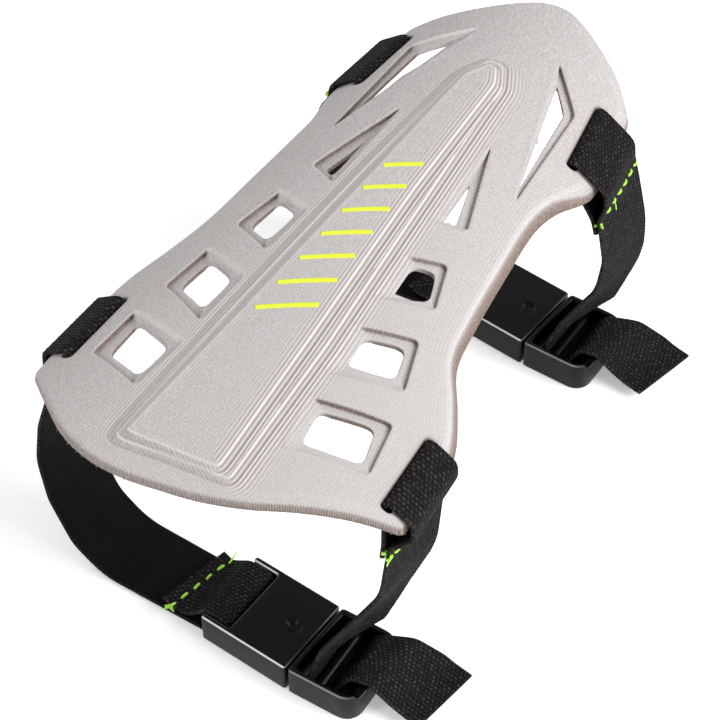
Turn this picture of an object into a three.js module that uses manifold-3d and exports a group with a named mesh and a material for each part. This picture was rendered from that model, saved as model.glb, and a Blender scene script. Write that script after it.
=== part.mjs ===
// Archery arm guard: a moulded foam shell that lies along the forearm, held by two elastic straps.
// Each strap is two pieces of webbing that loop through the shell and close in a two-part buckle.
// Millimetres. X runs across the forearm, Y along it from the elbow end to the wrist end, Z up.

import * as THREE from 'three';
import { mergeVertices } from 'three/addons/utils/BufferGeometryUtils.js';
import Module from 'manifold-3d';

const wasm = await Module();
wasm.setup();

// Shell surface: how far the crown stands up, and how the surface falls away from it
const CROWN_HEIGHT = 85;
const SHELL_THICKNESS = 3;
const SURFACE = {
  halfSpan: 50,
  halfLength: 90,
  bow: 18.6,
  wristBow: 12.9,
  edgeDrop: 5.9,
  endDrop: 2.4,
};
const SHELL_ROWS = 30;
const SHELL_COLUMNS = 16;

// Sides of the shell
const SIDES = [
  { y: -69.5, left: -46.2, right: 45.6 },
  { y: -56, left: -46.8, right: 45.6 },
  { y: -42, left: -46, right: 44.6 },
  { y: -33, left: -43.6, right: 40.2 },
  { y: -24, left: -39.6, right: 35.2 },
  { y: -12, left: -37.2, right: 33.2 },
  { y: 5, left: -36.6, right: 31.6 },
  { y: 22, left: -35.8, right: 30.4 },
  { y: 31, left: -35.2, right: 31.4 },
  { y: 42, left: -36.6, right: 34.6 },
  { y: 56, left: -35.6, right: 34.2 },
  { y: 71, left: -31.4, right: 31.2 },
];

// Elbow and wrist ends of the shell, by share of the width from the left (-1) to the right (1)
const ENDS = [
  { share: -1, elbow: -70.4, wrist: 72.4 },
  { share: -0.8, elbow: -78.3, wrist: 75.4 },
  { share: -0.6, elbow: -85.2, wrist: 77.8 },
  { share: -0.4, elbow: -89, wrist: 80.6 },
  { share: -0.2, elbow: -90, wrist: 84 },
  { share: 0, elbow: -89, wrist: 87 },
  { share: 0.2, elbow: -87.2, wrist: 87.4 },
  { share: 0.4, elbow: -83.6, wrist: 84.8 },
  { share: 0.6, elbow: -78, wrist: 81.4 },
  { share: 0.8, elbow: -72.4, wrist: 77.4 },
  { share: 1, elbow: -67.2, wrist: 71 },
];

// Raised panel down the middle: two steps, each a tapering bar with a blunt wrist end
const PANEL_CORNER = 2;
const PANEL_STEPS = [
  {
    rise: 1,
    rows: [
      { y: -81.5, left: -17, right: 13.6 },
      { y: -40, left: -14.4, right: 12.6 },
      { y: 10, left: -11.2, right: 9.4 },
      { y: 52, left: -7.6, right: 6.6 },
      { y: 60, left: -3, right: 2.8 },
    ],
  },
  {
    rise: 2.2,
    rows: [
      { y: -79, left: -14.2, right: 9.8 },
      { y: -40, left: -11.2, right: 8.8 },
      { y: 10, left: -8, right: 6.2 },
      { y: 51, left: -6, right: 5.2 },
      { y: 57.5, left: -2, right: 2.2 },
    ],
  },
];

// Vent windows of one side, each a hole in a shallow recess, as [x, y] corners in plan
const RECESS_DEPTH = 1;
const WINDOW_CORNER = 1.2;
const WINDOWS = [
  {
    hole: [[32.1, -60.7], [30.6, -52.1], [19.7, -56], [20.7, -65.2]],
    recess: [[34.7, -62], [33.1, -48.7], [16.9, -54.3], [18.7, -68]],
  },
  {
    hole: [[27.1, -38.5], [25.6, -30.2], [17.3, -33.4], [18.5, -42.2]],
    recess: [[30.3, -39.3], [27.5, -26.7], [15.1, -31.9], [16.2, -46.1]],
  },
  {
    hole: [[22.9, -15.2], [20.3, -7.3], [15.4, -9.7], [16.1, -18.7]],
    recess: [[25.3, -16.2], [22.1, -4.3], [13.7, -7.7], [14.2, -21.1]],
  },
  {
    hole: [[17, 7.9], [13.6, 21.1], [14.2, 6.7]],
    recess: [[20, 7.8], [12.4, 33.4], [12.6, 5]],
  },
  {
    hole: [[22.7, 28.5], [20.1, 56.7], [14.8, 63.3]],
    recess: [[24.1, 24.2], [22.5, 57.9], [12.4, 69.1]],
  },
];

// Webbing and the slots that it loops through
const WEBBING_THICKNESS = 1.3;
const WEBBING_WIDTH = 21;
const CLEARANCE = 0.3;
const SEAM_PLY_OFFSET = 0.85;
const SEAM_ABOVE = 3;
const SEAM_BELOW = 4;
const SLOT_WIDTH = 2.6;
const SLOT_LENGTH = 22.6;
const OUTER_DROP = 5;
const LOOP_BENDS = { ply: 5, entry: 4, slotTop: 1.4, edge: 1.6, leg: 8 };

// Fineness of round shapes: radians to a step in a bend, sides of a bar, steps in a rounded corner
const BEND_STEP = 0.35;
const BAR_SIDES = 12;
const CORNER_STEPS = 3;
const WELD_DISTANCE = 1e-4;
const LARGEST_SHARE = 0.48;
const CUT_PAST = 1;

// Buckle, in its own frame: X along the strap with the joint of the halves at 0, Z up from the table
const BUCKLE = {
  halfWidth: 10.9,
  height: 7.6,
  bevel: 0.5,
  bevelSteps: 2,
  socketCorner: 1,
  adjusterCorner: 4,
  bayHalfWidth: 9.5,
  socketEnd: -25.2,
  plateStart: -17.6,
  jointGap: 0.3,
  adjusterEnd: 16.8,
  frameStart: 2.2,
  frameEnd: 14.4,
  barSocket: -22.2,
  barAdjuster: 6,
  barSocketHeight: 3.75,
  barAdjusterHeight: 4.3,
  barRadius: 1.35,
  dimpleX: -8,
  dimpleRadius: 1.6,
  dimpleDepth: 1.2,
  tongueEnd: -14,
  tongueHalfWidth: 7,
  tongueBottom: 2.6,
  tongueTop: 5,
};

// The two straps: where each slot lies, where the plies are sewn, the buckle, and the free legs
const STRAPS = [
  {
    name: 'elbow',
    y: -56,
    slotLeft: 41,
    slotRight: 41,
    slotYaw: 2,
    sewnSeam: { x: 47, z: 60, lean: 1 },
    tailSeam: { x: 42.6, z: 60, lean: -0.4 },
    buckle: { x: 20.6, y: -63.2, socketYaw: -6, adjusterYaw: -1.5 },
    tailYaw: -7.5,
    sewnLeg: [
      { x: -51.4, y: -56.3, z: 45, bend: 15, width: 21 },
      { x: -52.6, y: -56.8, z: 33, bend: 20, width: 21 },
      { x: -50.4, y: -57.4, z: 20, bend: 15, width: 20.6 },
      { x: -44.5, y: -58, z: 7, bend: 10, width: 20.2 },
      { x: -36, y: -58.6, z: 0.8, bend: 14, width: 20 },
    ],
    tailLeg: [
      { x: 42, y: -57.2, z: 44, bend: 20, width: 20.6 },
      { x: 36.5, y: -60, z: 31, bend: 25, width: 19.8 },
      { x: 30.6, y: -62.4, z: 16.5, bend: 15, width: 18 },
    ],
  },
  {
    name: 'wrist',
    y: 56,
    slotLeft: 29.8,
    slotRight: 27.2,
    slotYaw: 7,
    sewnSeam: { x: 37, z: 60, lean: 1 },
    tailSeam: { x: 36.4, z: 60, lean: 1 },
    buckle: { x: 21.4, y: 54.2, socketYaw: -8, adjusterYaw: -3.5 },
    tailYaw: -13,
    sewnLeg: [
      { x: -42, y: 56, z: 46, bend: 15, width: 21 },
      { x: -44.6, y: 56.2, z: 33, bend: 20, width: 21 },
      { x: -42.8, y: 56.6, z: 19, bend: 15, width: 20.6 },
      { x: -37, y: 57, z: 6.5, bend: 10, width: 20.2 },
      { x: -29, y: 57.6, z: 0.8, bend: 14, width: 20 },
    ],
    tailLeg: [
      { x: 39.4, y: 56, z: 47, bend: 20, width: 20.6 },
      { x: 39.4, y: 55.6, z: 36, bend: 25, width: 20.2 },
      { x: 32.2, y: 54.6, z: 17, bend: 20, width: 18 },
    ],
  },
];

// Webbing round the bar of the socket half: under the bar, back over it, and a short sewn flap
const SOCKET_WRAP = [
  { x: -29, z: 0.8, bend: 0, width: 19.4 },
  { x: -19.2, z: 0.8, bend: 1.6, width: 18 },
  { x: -19.2, z: 6.5, bend: 1.6, width: 18 },
  { x: -25.4, z: 6.5, bend: 4, width: 18 },
  { x: -31, z: 2.5, bend: 4, width: 19.6 },
  { x: -37.5, z: 2.5, bend: 0, width: 19.6 },
];

// Webbing round the bar of the adjuster half: over the bar, under it, over the rim, out as a tail
const ADJUSTER_WRAP = [
  { x: 3.55, z: 6.6, shift: 0, bend: 1.6, width: 18 },
  { x: 3.55, z: 1.95, shift: 0, bend: 1.6, width: 18 },
  { x: 8.2, z: 1.95, shift: 0.4, bend: 2, width: 17.2 },
  { x: 12.2, z: 8.75, shift: 1.8, bend: 2.5, width: 14.8 },
  { x: 18.2, z: 8.7, shift: 4.2, bend: 4, width: 17.6 },
  { x: 23.5, z: 2.4, shift: 4.9, bend: 5, width: 19.4 },
  { x: 26.5, z: 0.8, shift: 4.8, bend: 5, width: 19.4 },
  { x: 31.5, z: 0.8, shift: 4.4, bend: 0, width: 19.4 },
];

const FOAM = { color: 0xc8c4c3, roughness: 0.9, metalness: 0 };
const WEBBING = { color: 0x1e1c1b, roughness: 0.85, metalness: 0 };
const PLASTIC = { color: 0x161616, roughness: 0.35, metalness: 0 };

// Curve through a table column, smooth between its rows
function columnCurve(rows, key, column) {
  const slopes = rows.map((row, index) => {
    const before = rows[Math.max(index - 1, 0)];
    const after = rows[Math.min(index + 1, rows.length - 1)];
    return (after[column] - before[column]) / (after[key] - before[key]);
  });
  return (value) => {
    let index = 0;
    while (index < rows.length - 2 && value > rows[index + 1][key]) {
      index += 1;
    }
    const span = rows[index + 1][key] - rows[index][key];
    const t = THREE.MathUtils.clamp((value - rows[index][key]) / span, 0, 1);
    const [start, end] = [rows[index][column], rows[index + 1][column]];
    const leaving = (start * (1 + 2 * t) + slopes[index] * span * t) * (1 - t) ** 2;
    const arriving = (end * (3 - 2 * t) + slopes[index + 1] * span * (t - 1)) * t ** 2;
    return leaving + arriving;
  };
}

const leftSide = columnCurve(SIDES, 'y', 'left');
const rightSide = columnCurve(SIDES, 'y', 'right');
const elbowEnd = columnCurve(ENDS, 'share', 'elbow');
const wristEnd = columnCurve(ENDS, 'share', 'wrist');

function surfaceHeight(x, y) {
  const across = x / SURFACE.halfSpan;
  const along = y / SURFACE.halfLength;
  const bow = (SURFACE.bow + SURFACE.wristBow * along) * across ** 2;
  return CROWN_HEIGHT - bow - SURFACE.edgeDrop * across ** 4 - SURFACE.endDrop * along ** 2;
}

// Point of the shell's plan: share runs from side to side, along from the elbow to the wrist end
function planPoint(share, along) {
  const left = leftSide(THREE.MathUtils.lerp(elbowEnd(-1), wristEnd(-1), along));
  const right = rightSide(THREE.MathUtils.lerp(elbowEnd(1), wristEnd(1), along));
  const y = THREE.MathUtils.lerp(elbowEnd(share), wristEnd(share), along);
  return { x: THREE.MathUtils.lerp(left, right, (share + 1) / 2), y };
}

// Distance of the shell's edge from its middle on one side, -1 for the left and 1 for the right
function edgeReach(side, y) {
  return side < 0 ? -leftSide(y) : rightSide(y);
}

function toSolid(geometry) {
  const bare = geometry.clone();
  bare.deleteAttribute('normal');
  bare.deleteAttribute('uv');
  const welded = mergeVertices(bare, WELD_DISTANCE);
  const vertProperties = new Float32Array(welded.attributes.position.array);
  const triVerts = new Uint32Array(welded.index.array);
  return new wasm.Manifold(new wasm.Mesh({ numProp: 3, vertProperties, triVerts }));
}

function toGeometry(solid) {
  const mesh = solid.getMesh();
  const geometry = new THREE.BufferGeometry();
  geometry.setAttribute('position', new THREE.BufferAttribute(new Float32Array(mesh.vertProperties), 3));
  geometry.setIndex(new THREE.BufferAttribute(new Uint32Array(mesh.triVerts), 1));
  return geometry;
}

function indexedGeometry(coordinates, index) {
  const geometry = new THREE.BufferGeometry();
  geometry.setAttribute('position', new THREE.Float32BufferAttribute(coordinates, 3));
  geometry.setIndex(index);
  return geometry;
}

// Closed solid from rings of equal length, joined in order, with a flat cap at each end
function ringSolid(rings) {
  const count = rings[0].length;
  const index = [];
  for (let ring = 0; ring < rings.length - 1; ring += 1) {
    for (let side = 0; side < count; side += 1) {
      const a = ring * count + side;
      const b = ring * count + (side + 1) % count;
      index.push(a, b, b + count, a, b + count, a + count);
    }
  }
  const last = (rings.length - 1) * count;
  for (let side = 1; side < count - 1; side += 1) {
    index.push(0, side + 1, side);
    index.push(last, last + side, last + side + 1);
  }
  const coordinates = rings.flat().flatMap((point) => point.toArray());
  return indexedGeometry(coordinates, index);
}

// The shell's own sheet, moved up by a lift: top and bottom grids with a wall round the outline
function shellSheet(lift) {
  const rowLength = SHELL_COLUMNS + 1;
  const layer = rowLength * (SHELL_ROWS + 1);
  const points = [];
  for (const drop of [0, SHELL_THICKNESS]) {
    for (let row = 0; row <= SHELL_ROWS; row += 1) {
      for (let column = 0; column <= SHELL_COLUMNS; column += 1) {
        const { x, y } = planPoint((2 * column) / SHELL_COLUMNS - 1, row / SHELL_ROWS);
        points.push(x, y, surfaceHeight(x, y) + lift - drop);
      }
    }
  }
  const index = [];
  for (let row = 0; row < SHELL_ROWS; row += 1) {
    for (let column = 0; column < SHELL_COLUMNS; column += 1) {
      const a = row * rowLength + column;
      const b = a + 1;
      const c = b + rowLength;
      const d = a + rowLength;
      index.push(a, b, c, a, c, d);
      index.push(layer + a, layer + c, layer + b, layer + a, layer + d, layer + c);
    }
  }
  const wall = (a, b) => index.push(b, a, layer + a, b, layer + a, layer + b);
  for (let column = 0; column < SHELL_COLUMNS; column += 1) {
    const far = SHELL_ROWS * rowLength + column;
    wall(column, column + 1);
    wall(far + 1, far);
  }
  for (let row = 0; row < SHELL_ROWS; row += 1) {
    const left = row * rowLength;
    const right = left + SHELL_COLUMNS;
    wall(left + rowLength, left);
    wall(right, right + rowLength);
  }
  return toSolid(indexedGeometry(points, index));
}

// Upright prism through the whole shell over a plan outline whose corners are rounded
function prism(corners, radius) {
  const points = corners.map(([x, y]) => new THREE.Vector2(x, y));
  if (THREE.ShapeUtils.area(points) < 0) {
    points.reverse();
  }
  const shape = new THREE.Shape();
  points.forEach((corner, index) => {
    const before = points[(index + points.length - 1) % points.length];
    const after = points[(index + 1) % points.length];
    const inset = (to) => {
      const step = to.clone().sub(corner);
      return corner.clone().addScaledVector(step, Math.min(radius / step.length(), LARGEST_SHARE));
    };
    const start = inset(before);
    const end = inset(after);
    if (index === 0) {
      shape.moveTo(start.x, start.y);
    } else {
      shape.lineTo(start.x, start.y);
    }
    shape.quadraticCurveTo(corner.x, corner.y, end.x, end.y);
  });
  shape.closePath();
  const through = { depth: 2 * CROWN_HEIGHT, bevelEnabled: false, curveSegments: CORNER_STEPS };
  return toSolid(new THREE.ExtrudeGeometry(shape, through));
}

function panelOutline(step) {
  const right = step.rows.map((row) => [row.right, row.y]);
  const left = step.rows.map((row) => [row.left, row.y]).reverse();
  return [...right, ...left];
}

function slotReach(strap, side) {
  return side < 0 ? strap.slotLeft : strap.slotRight;
}

function slotOutline(strap, side) {
  const yaw = THREE.MathUtils.degToRad(strap.slotYaw);
  const corners = [[-1, -1], [1, -1], [1, 1], [-1, 1]];
  return corners.map(([across, along]) => {
    const x = (across * SLOT_WIDTH) / 2;
    const y = (along * SLOT_LENGTH) / 2;
    const turnedX = x * Math.cos(yaw) - y * Math.sin(yaw);
    const turnedY = x * Math.sin(yaw) + y * Math.cos(yaw);
    return [side * (slotReach(strap, side) + turnedX), strap.y + turnedY];
  });
}

function buildShell() {
  const base = shellSheet(0);
  const sunk = shellSheet(-RECESS_DEPTH);
  let shell = base;
  for (const step of PANEL_STEPS) {
    shell = shell.add(shellSheet(step.rise).intersect(prism(panelOutline(step), PANEL_CORNER)));
  }
  for (const side of [1, -1]) {
    const mirrored = (corners) => corners.map(([x, y]) => [side * x, y]);
    for (const window of WINDOWS) {
      shell = shell.subtract(prism(mirrored(window.recess), WINDOW_CORNER).subtract(sunk));
      shell = shell.subtract(prism(mirrored(window.hole), WINDOW_CORNER));
    }
    for (const strap of STRAPS) {
      shell = shell.subtract(prism(slotOutline(strap, side), SLOT_WIDTH / 4));
    }
  }
  return toGeometry(shell);
}

// Path through table rows with the turn at each row rounded to its bend
function bentPath(rows) {
  const places = rows.map((row) => new THREE.Vector3(row.x, row.y, row.z));
  const samples = [];
  const addSample = (point, at) => {
    const index = Math.min(Math.floor(at), rows.length - 2);
    const mix = (column) => THREE.MathUtils.lerp(rows[index][column], rows[index + 1][column], at - index);
    samples.push({ point, width: mix('width'), yaw: mix('yaw'), pitch: mix('pitch') });
  };
  rows.forEach((row, index) => {
    if (index === 0 || index === rows.length - 1 || row.bend === 0) {
      addSample(places[index], index);
      return;
    }
    const back = places[index - 1].clone().sub(places[index]);
    const ahead = places[index + 1].clone().sub(places[index]);
    const turn = Math.PI - back.angleTo(ahead);
    const reach = row.bend * Math.tan(turn / 2);
    const backShare = Math.min(reach / back.length(), LARGEST_SHARE);
    const aheadShare = Math.min(reach / ahead.length(), LARGEST_SHARE);
    const start = places[index].clone().addScaledVector(back, backShare);
    const end = places[index].clone().addScaledVector(ahead, aheadShare);
    const arc = new THREE.QuadraticBezierCurve3(start, places[index], end);
    const steps = Math.max(2, Math.ceil(turn / BEND_STEP));
    for (let step = 0; step <= steps; step += 1) {
      const share = step / steps;
      addSample(arc.getPoint(share), index + THREE.MathUtils.lerp(-backShare, aheadShare, share));
    }
  });
  return samples;
}

// Flat webbing swept along table rows: its width lies along Y turned by yaw and tilted by pitch
function ribbon(rows) {
  const samples = bentPath(rows);
  const rings = samples.map(({ point, width, yaw, pitch }, index) => {
    const before = samples[Math.max(index - 1, 0)].point;
    const after = samples[Math.min(index + 1, samples.length - 1)].point;
    const tangent = after.clone().sub(before).normalize();
    const turn = THREE.MathUtils.degToRad(yaw);
    const across = new THREE.Vector3(-Math.sin(turn), Math.cos(turn), pitch).normalize();
    const normal = tangent.clone().cross(across).normalize();
    const corners = [[-1, -1], [1, -1], [1, 1], [-1, 1]];
    return corners.map(([a, n]) => point.clone()
      .addScaledVector(across, (a * width) / 2)
      .addScaledVector(normal, (n * WEBBING_THICKNESS) / 2));
  });
  return ringSolid(rings);
}

// Rows of the loop through a slot: up from the seam, round the outer strip of the shell, down again
function slotLoop(strap, side, seam) {
  const slotX = slotReach(strap, side);
  const edgeX = edgeReach(side, strap.y);
  const stand = CLEARANCE + WEBBING_THICKNESS / 2;
  const slope = (surfaceHeight(slotX, strap.y) - surfaceHeight(edgeX, strap.y)) / (edgeX - slotX);
  const lift = stand * Math.hypot(1, slope);
  const slotTop = surfaceHeight(slotX, strap.y) + lift;
  const edgeTop = surfaceHeight(edgeX, strap.y) + lift - slope * stand;
  const dy = SLOT_LENGTH / 2;
  const dx = dy * Math.tan(THREE.MathUtils.degToRad(strap.slotYaw));
  const rise = surfaceHeight(slotX - dx, strap.y + dy) - surfaceHeight(slotX + dx, strap.y - dy);
  const pitch = rise / SLOT_LENGTH;
  const seamTop = seam.z + SEAM_ABOVE;
  const seamFoot = seam.z - SEAM_BELOW;
  const loop = [
    { x: seam.x + seam.lean - SEAM_PLY_OFFSET, z: seamFoot, bend: 0 },
    { x: seam.x - SEAM_PLY_OFFSET, z: seam.z, bend: LOOP_BENDS.ply },
    { x: slotX, z: slotTop - SHELL_THICKNESS - 2 * stand, bend: LOOP_BENDS.entry },
    { x: slotX, z: slotTop, bend: LOOP_BENDS.slotTop, pitch },
    { x: edgeX + stand, z: edgeTop, bend: LOOP_BENDS.edge, pitch },
    { x: edgeX + stand + CLEARANCE, z: edgeTop - OUTER_DROP, bend: LOOP_BENDS.ply },
    { x: seam.x + SEAM_PLY_OFFSET, z: seam.z, bend: LOOP_BENDS.ply },
    { x: seam.x + seam.lean + SEAM_PLY_OFFSET, z: seamFoot, bend: LOOP_BENDS.leg },
  ];
  return loop.map(({ x, z, bend, pitch: tilt = 0 }) => ({
    x: side * x,
    y: strap.y,
    z,
    bend,
    width: WEBBING_WIDTH,
    yaw: z < seamTop ? 0 : side * strap.slotYaw,
    pitch: tilt,
  }));
}

// The adjuster half sits this far out, so that its turned end face clears the socket half
function adjusterOffset(buckle) {
  return BUCKLE.halfWidth * Math.tan(THREE.MathUtils.degToRad(buckle.adjusterYaw - buckle.socketYaw));
}

// Place in the frame of a buckle half, turned by its yaw, as part coordinates
function buckleRow(buckle, yaw, offset, row) {
  const turn = THREE.MathUtils.degToRad(yaw);
  const reach = row.x + offset;
  const shift = row.shift ?? 0;
  return {
    x: buckle.x + reach * Math.cos(turn) - shift * Math.sin(turn),
    y: buckle.y + reach * Math.sin(turn) + shift * Math.cos(turn),
    z: row.z,
    bend: row.bend,
    width: row.width,
    yaw,
    pitch: 0,
  };
}

function legRows(rows) {
  return rows.map((row) => ({ ...row, yaw: 0, pitch: 0 }));
}

function sewnStrap(strap) {
  const wrap = SOCKET_WRAP.map((row) => buckleRow(strap.buckle, strap.buckle.socketYaw, 0, row));
  return ribbon([...slotLoop(strap, -1, strap.sewnSeam), ...legRows(strap.sewnLeg), ...wrap]);
}

function tailStrap(strap) {
  const { buckle } = strap;
  const offset = adjusterOffset(buckle);
  const wrap = ADJUSTER_WRAP.map((row) => {
    const placed = buckleRow(buckle, buckle.adjusterYaw, offset, row);
    return row.x < BUCKLE.adjusterEnd ? placed : { ...placed, yaw: strap.tailYaw };
  });
  return ribbon([...slotLoop(strap, 1, strap.tailSeam), ...legRows(strap.tailLeg), ...wrap]);
}

function block(x0, x1, halfY, z0, z1) {
  const geometry = new THREE.BoxGeometry(x1 - x0, 2 * halfY, z1 - z0);
  geometry.translate((x0 + x1) / 2, 0, (z0 + z1) / 2);
  return toSolid(geometry);
}

function crossBar(x, z) {
  const length = 2 * BUCKLE.bayHalfWidth + CUT_PAST;
  const geometry = new THREE.CylinderGeometry(BUCKLE.barRadius, BUCKLE.barRadius, length, BAR_SIDES);
  geometry.translate(x, 0, z);
  return toSolid(geometry);
}

// Buckle half from above: a box with rounded corners at its outer end and bevelled edges
function buckleBody(x0, x1, radius) {
  const inset = BUCKLE.bevel;
  const half = BUCKLE.halfWidth - inset;
  const [inner, outer] = Math.abs(x0) < Math.abs(x1) ? [x0 + inset, x1 - inset] : [x1 - inset, x0 + inset];
  const away = Math.sign(outer - inner);
  const shape = new THREE.Shape();
  shape.moveTo(inner, -half);
  shape.lineTo(outer - away * radius, -half);
  shape.quadraticCurveTo(outer, -half, outer, -half + radius);
  shape.lineTo(outer, half - radius);
  shape.quadraticCurveTo(outer, half, outer - away * radius, half);
  shape.lineTo(inner, half);
  shape.closePath();
  const geometry = new THREE.ExtrudeGeometry(shape, {
    depth: BUCKLE.height - 2 * inset,
    bevelThickness: inset,
    bevelSize: inset,
    bevelSegments: BUCKLE.bevelSteps,
    curveSegments: CORNER_STEPS,
  });
  geometry.translate(0, 0, inset);
  return toSolid(geometry);
}

function turned(solid, strap, yaw) {
  return solid.rotate([0, 0, yaw]).translate([strap.buckle.x, strap.buckle.y, 0]);
}

// Open bay of a half, right through it from top to bottom, where the webbing goes round its bar
function webbingBay(x0, x1) {
  return block(x0, x1, BUCKLE.bayHalfWidth, -CUT_PAST, BUCKLE.height + CUT_PAST);
}

// Flat tongue of the adjuster half, or with a gap the pocket of the socket half that it snaps into
function tongue(x0, x1, gap) {
  return block(x0, x1, BUCKLE.tongueHalfWidth + gap, BUCKLE.tongueBottom - gap, BUCKLE.tongueTop + gap);
}

function buckleSocket(strap) {
  const dimple = new THREE.ConeGeometry(BUCKLE.dimpleRadius, BUCKLE.dimpleDepth, BAR_SIDES);
  dimple.rotateX(-Math.PI / 2);
  dimple.translate(BUCKLE.dimpleX, 0, BUCKLE.height - (BUCKLE.dimpleDepth - WELD_DISTANCE) / 2);
  const solid = buckleBody(BUCKLE.socketEnd, -BUCKLE.jointGap, BUCKLE.socketCorner)
    .subtract(webbingBay(BUCKLE.socketEnd - CUT_PAST, BUCKLE.plateStart))
    .subtract(tongue(BUCKLE.tongueEnd - CUT_PAST, CUT_PAST, CLEARANCE))
    .subtract(toSolid(dimple))
    .add(crossBar(BUCKLE.barSocket, BUCKLE.barSocketHeight));
  return toGeometry(turned(solid, strap, strap.buckle.socketYaw));
}

function buckleAdjuster(strap) {
  const offset = adjusterOffset(strap.buckle);
  const tongueRoot = offset + BUCKLE.frameStart - CUT_PAST;
  const frame = buckleBody(BUCKLE.jointGap, BUCKLE.adjusterEnd, BUCKLE.adjusterCorner)
    .subtract(webbingBay(BUCKLE.frameStart, BUCKLE.frameEnd))
    .add(crossBar(BUCKLE.barAdjuster, BUCKLE.barAdjusterHeight))
    .translate([offset, 0, 0]);
  const turnedFrame = turned(frame, strap, strap.buckle.adjusterYaw);
  const turnedTongue = turned(tongue(BUCKLE.tongueEnd, tongueRoot, 0), strap, strap.buckle.socketYaw);
  return toGeometry(turnedFrame.add(turnedTongue));
}

function piece(name, geometry, finish) {
  const mesh = new THREE.Mesh(geometry, new THREE.MeshStandardMaterial(finish));
  mesh.name = name;
  return mesh;
}

const guard = new THREE.Group();
guard.add(piece('guard_shell', buildShell(), FOAM));
for (const strap of STRAPS) {
  guard.add(piece(`${strap.name}_strap_sewn`, sewnStrap(strap), WEBBING));
  guard.add(piece(`${strap.name}_strap_tail`, tailStrap(strap), WEBBING));
  guard.add(piece(`${strap.name}_buckle_socket`, buckleSocket(strap), PLASTIC));
  guard.add(piece(`${strap.name}_buckle_adjuster`, buckleAdjuster(strap), PLASTIC));
}

// The origin is on the table, under the middle of the part's box
const box = new THREE.Box3().setFromObject(guard);
const middle = box.getCenter(new THREE.Vector3());
guard.position.set(-middle.x, -middle.y, -box.min.z);

export default guard;
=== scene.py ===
"""Looks of an archery arm guard: a knit-covered foam shell, elastic straps and plastic buckles.

Sizes are in millimetres. X runs across the forearm, Y along it from the elbow end to the wrist end,
Z up from the table. The frame's origin is found from the shell's own box.
"""

import math

import bmesh
import bpy
import numpy as np
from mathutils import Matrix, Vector
from mathutils.geometry import delaunay_2d_cdt


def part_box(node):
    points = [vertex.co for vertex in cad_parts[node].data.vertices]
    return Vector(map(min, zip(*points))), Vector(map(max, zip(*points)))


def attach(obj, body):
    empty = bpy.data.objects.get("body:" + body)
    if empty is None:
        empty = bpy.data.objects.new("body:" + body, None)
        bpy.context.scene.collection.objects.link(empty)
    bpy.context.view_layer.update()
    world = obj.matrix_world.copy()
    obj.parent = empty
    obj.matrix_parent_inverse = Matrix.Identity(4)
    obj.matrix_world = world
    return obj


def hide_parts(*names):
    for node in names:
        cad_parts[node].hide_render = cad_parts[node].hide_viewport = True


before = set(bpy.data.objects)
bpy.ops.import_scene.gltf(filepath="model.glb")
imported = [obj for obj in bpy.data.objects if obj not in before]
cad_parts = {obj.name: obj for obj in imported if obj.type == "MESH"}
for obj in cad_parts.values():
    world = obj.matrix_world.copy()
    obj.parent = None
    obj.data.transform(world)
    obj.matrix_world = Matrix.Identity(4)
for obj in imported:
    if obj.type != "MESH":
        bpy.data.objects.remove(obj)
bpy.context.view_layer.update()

METRES = 0.001
BODY = "root"
SEED = 7

# Camera, from the photograph's viewing angle
CAMERA_AZIMUTH = 30.2
CAMERA_ELEVATION = 48.9
CAMERA_LENS = 118.3
CAMERA_SENSOR = 36
CAMERA_CLIP = (0.01, 20)
CAMERA_DISTANCE = 569
CAMERA_TARGET = (-1.2, -5.5, 40)

# Studio light: brightness of the sky low down and overhead, the floor, and the softboxes as name,
# azimuth, elevation, distance, width and height in metres, power in watts
SKY_LOW = 0.71
SKY_HIGH = 0.41
FLOOR_REACH = 6
FLOOR_GREY = 0.9
FLOOR_GLOW = 0.3
LIGHTS = [
    ("key", 100, 36, 1.2, 0.8, 0.8, 18),
    ("front", -32, 29, 1.2, 0.15, 0.3, 3),
    ("left", -116, 40, 1.3, 0.8, 0.8, 3),
]

# Shell surface
CROWN_HEIGHT = 85
SHELL_THICKNESS = 3
HALF_SPAN = 50
HALF_LENGTH = 90
BOW = 18.6
WRIST_BOW = 12.9
EDGE_DROP = 5.9
END_DROP = 2.4

# Sides of the shell: y, left, right
SIDES = [
    (-69.5, -46.2, 45.6),
    (-56, -46.8, 45.6),
    (-42, -46.8, 44.6),
    (-33, -45.6, 40.4),
    (-24, -41.6, 35.2),
    (-12, -38, 33.2),
    (5, -36.8, 31.6),
    (22, -35.8, 30.4),
    (31, -35.6, 31.4),
    (42, -38, 34.6),
    (49, -38.2, 34.6),
    (56, -36.2, 34.2),
    (71, -31.4, 31.2),
]

# Ends of the shell by share of the width from left to right: share, elbow, wrist
ENDS = [
    (-1, -70.4, 72.4),
    (-0.8, -78.3, 75.4),
    (-0.6, -85.2, 77.8),
    (-0.4, -89, 80.6),
    (-0.2, -90, 84),
    (0, -89, 87),
    (0.2, -87.2, 87.4),
    (0.4, -83.6, 84.8),
    (0.6, -78, 81.4),
    (0.8, -72.4, 77.4),
    (1, -67.2, 71),
]
SHELL_RIGHT = 45.62
SHELL_ELBOW = -90

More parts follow.
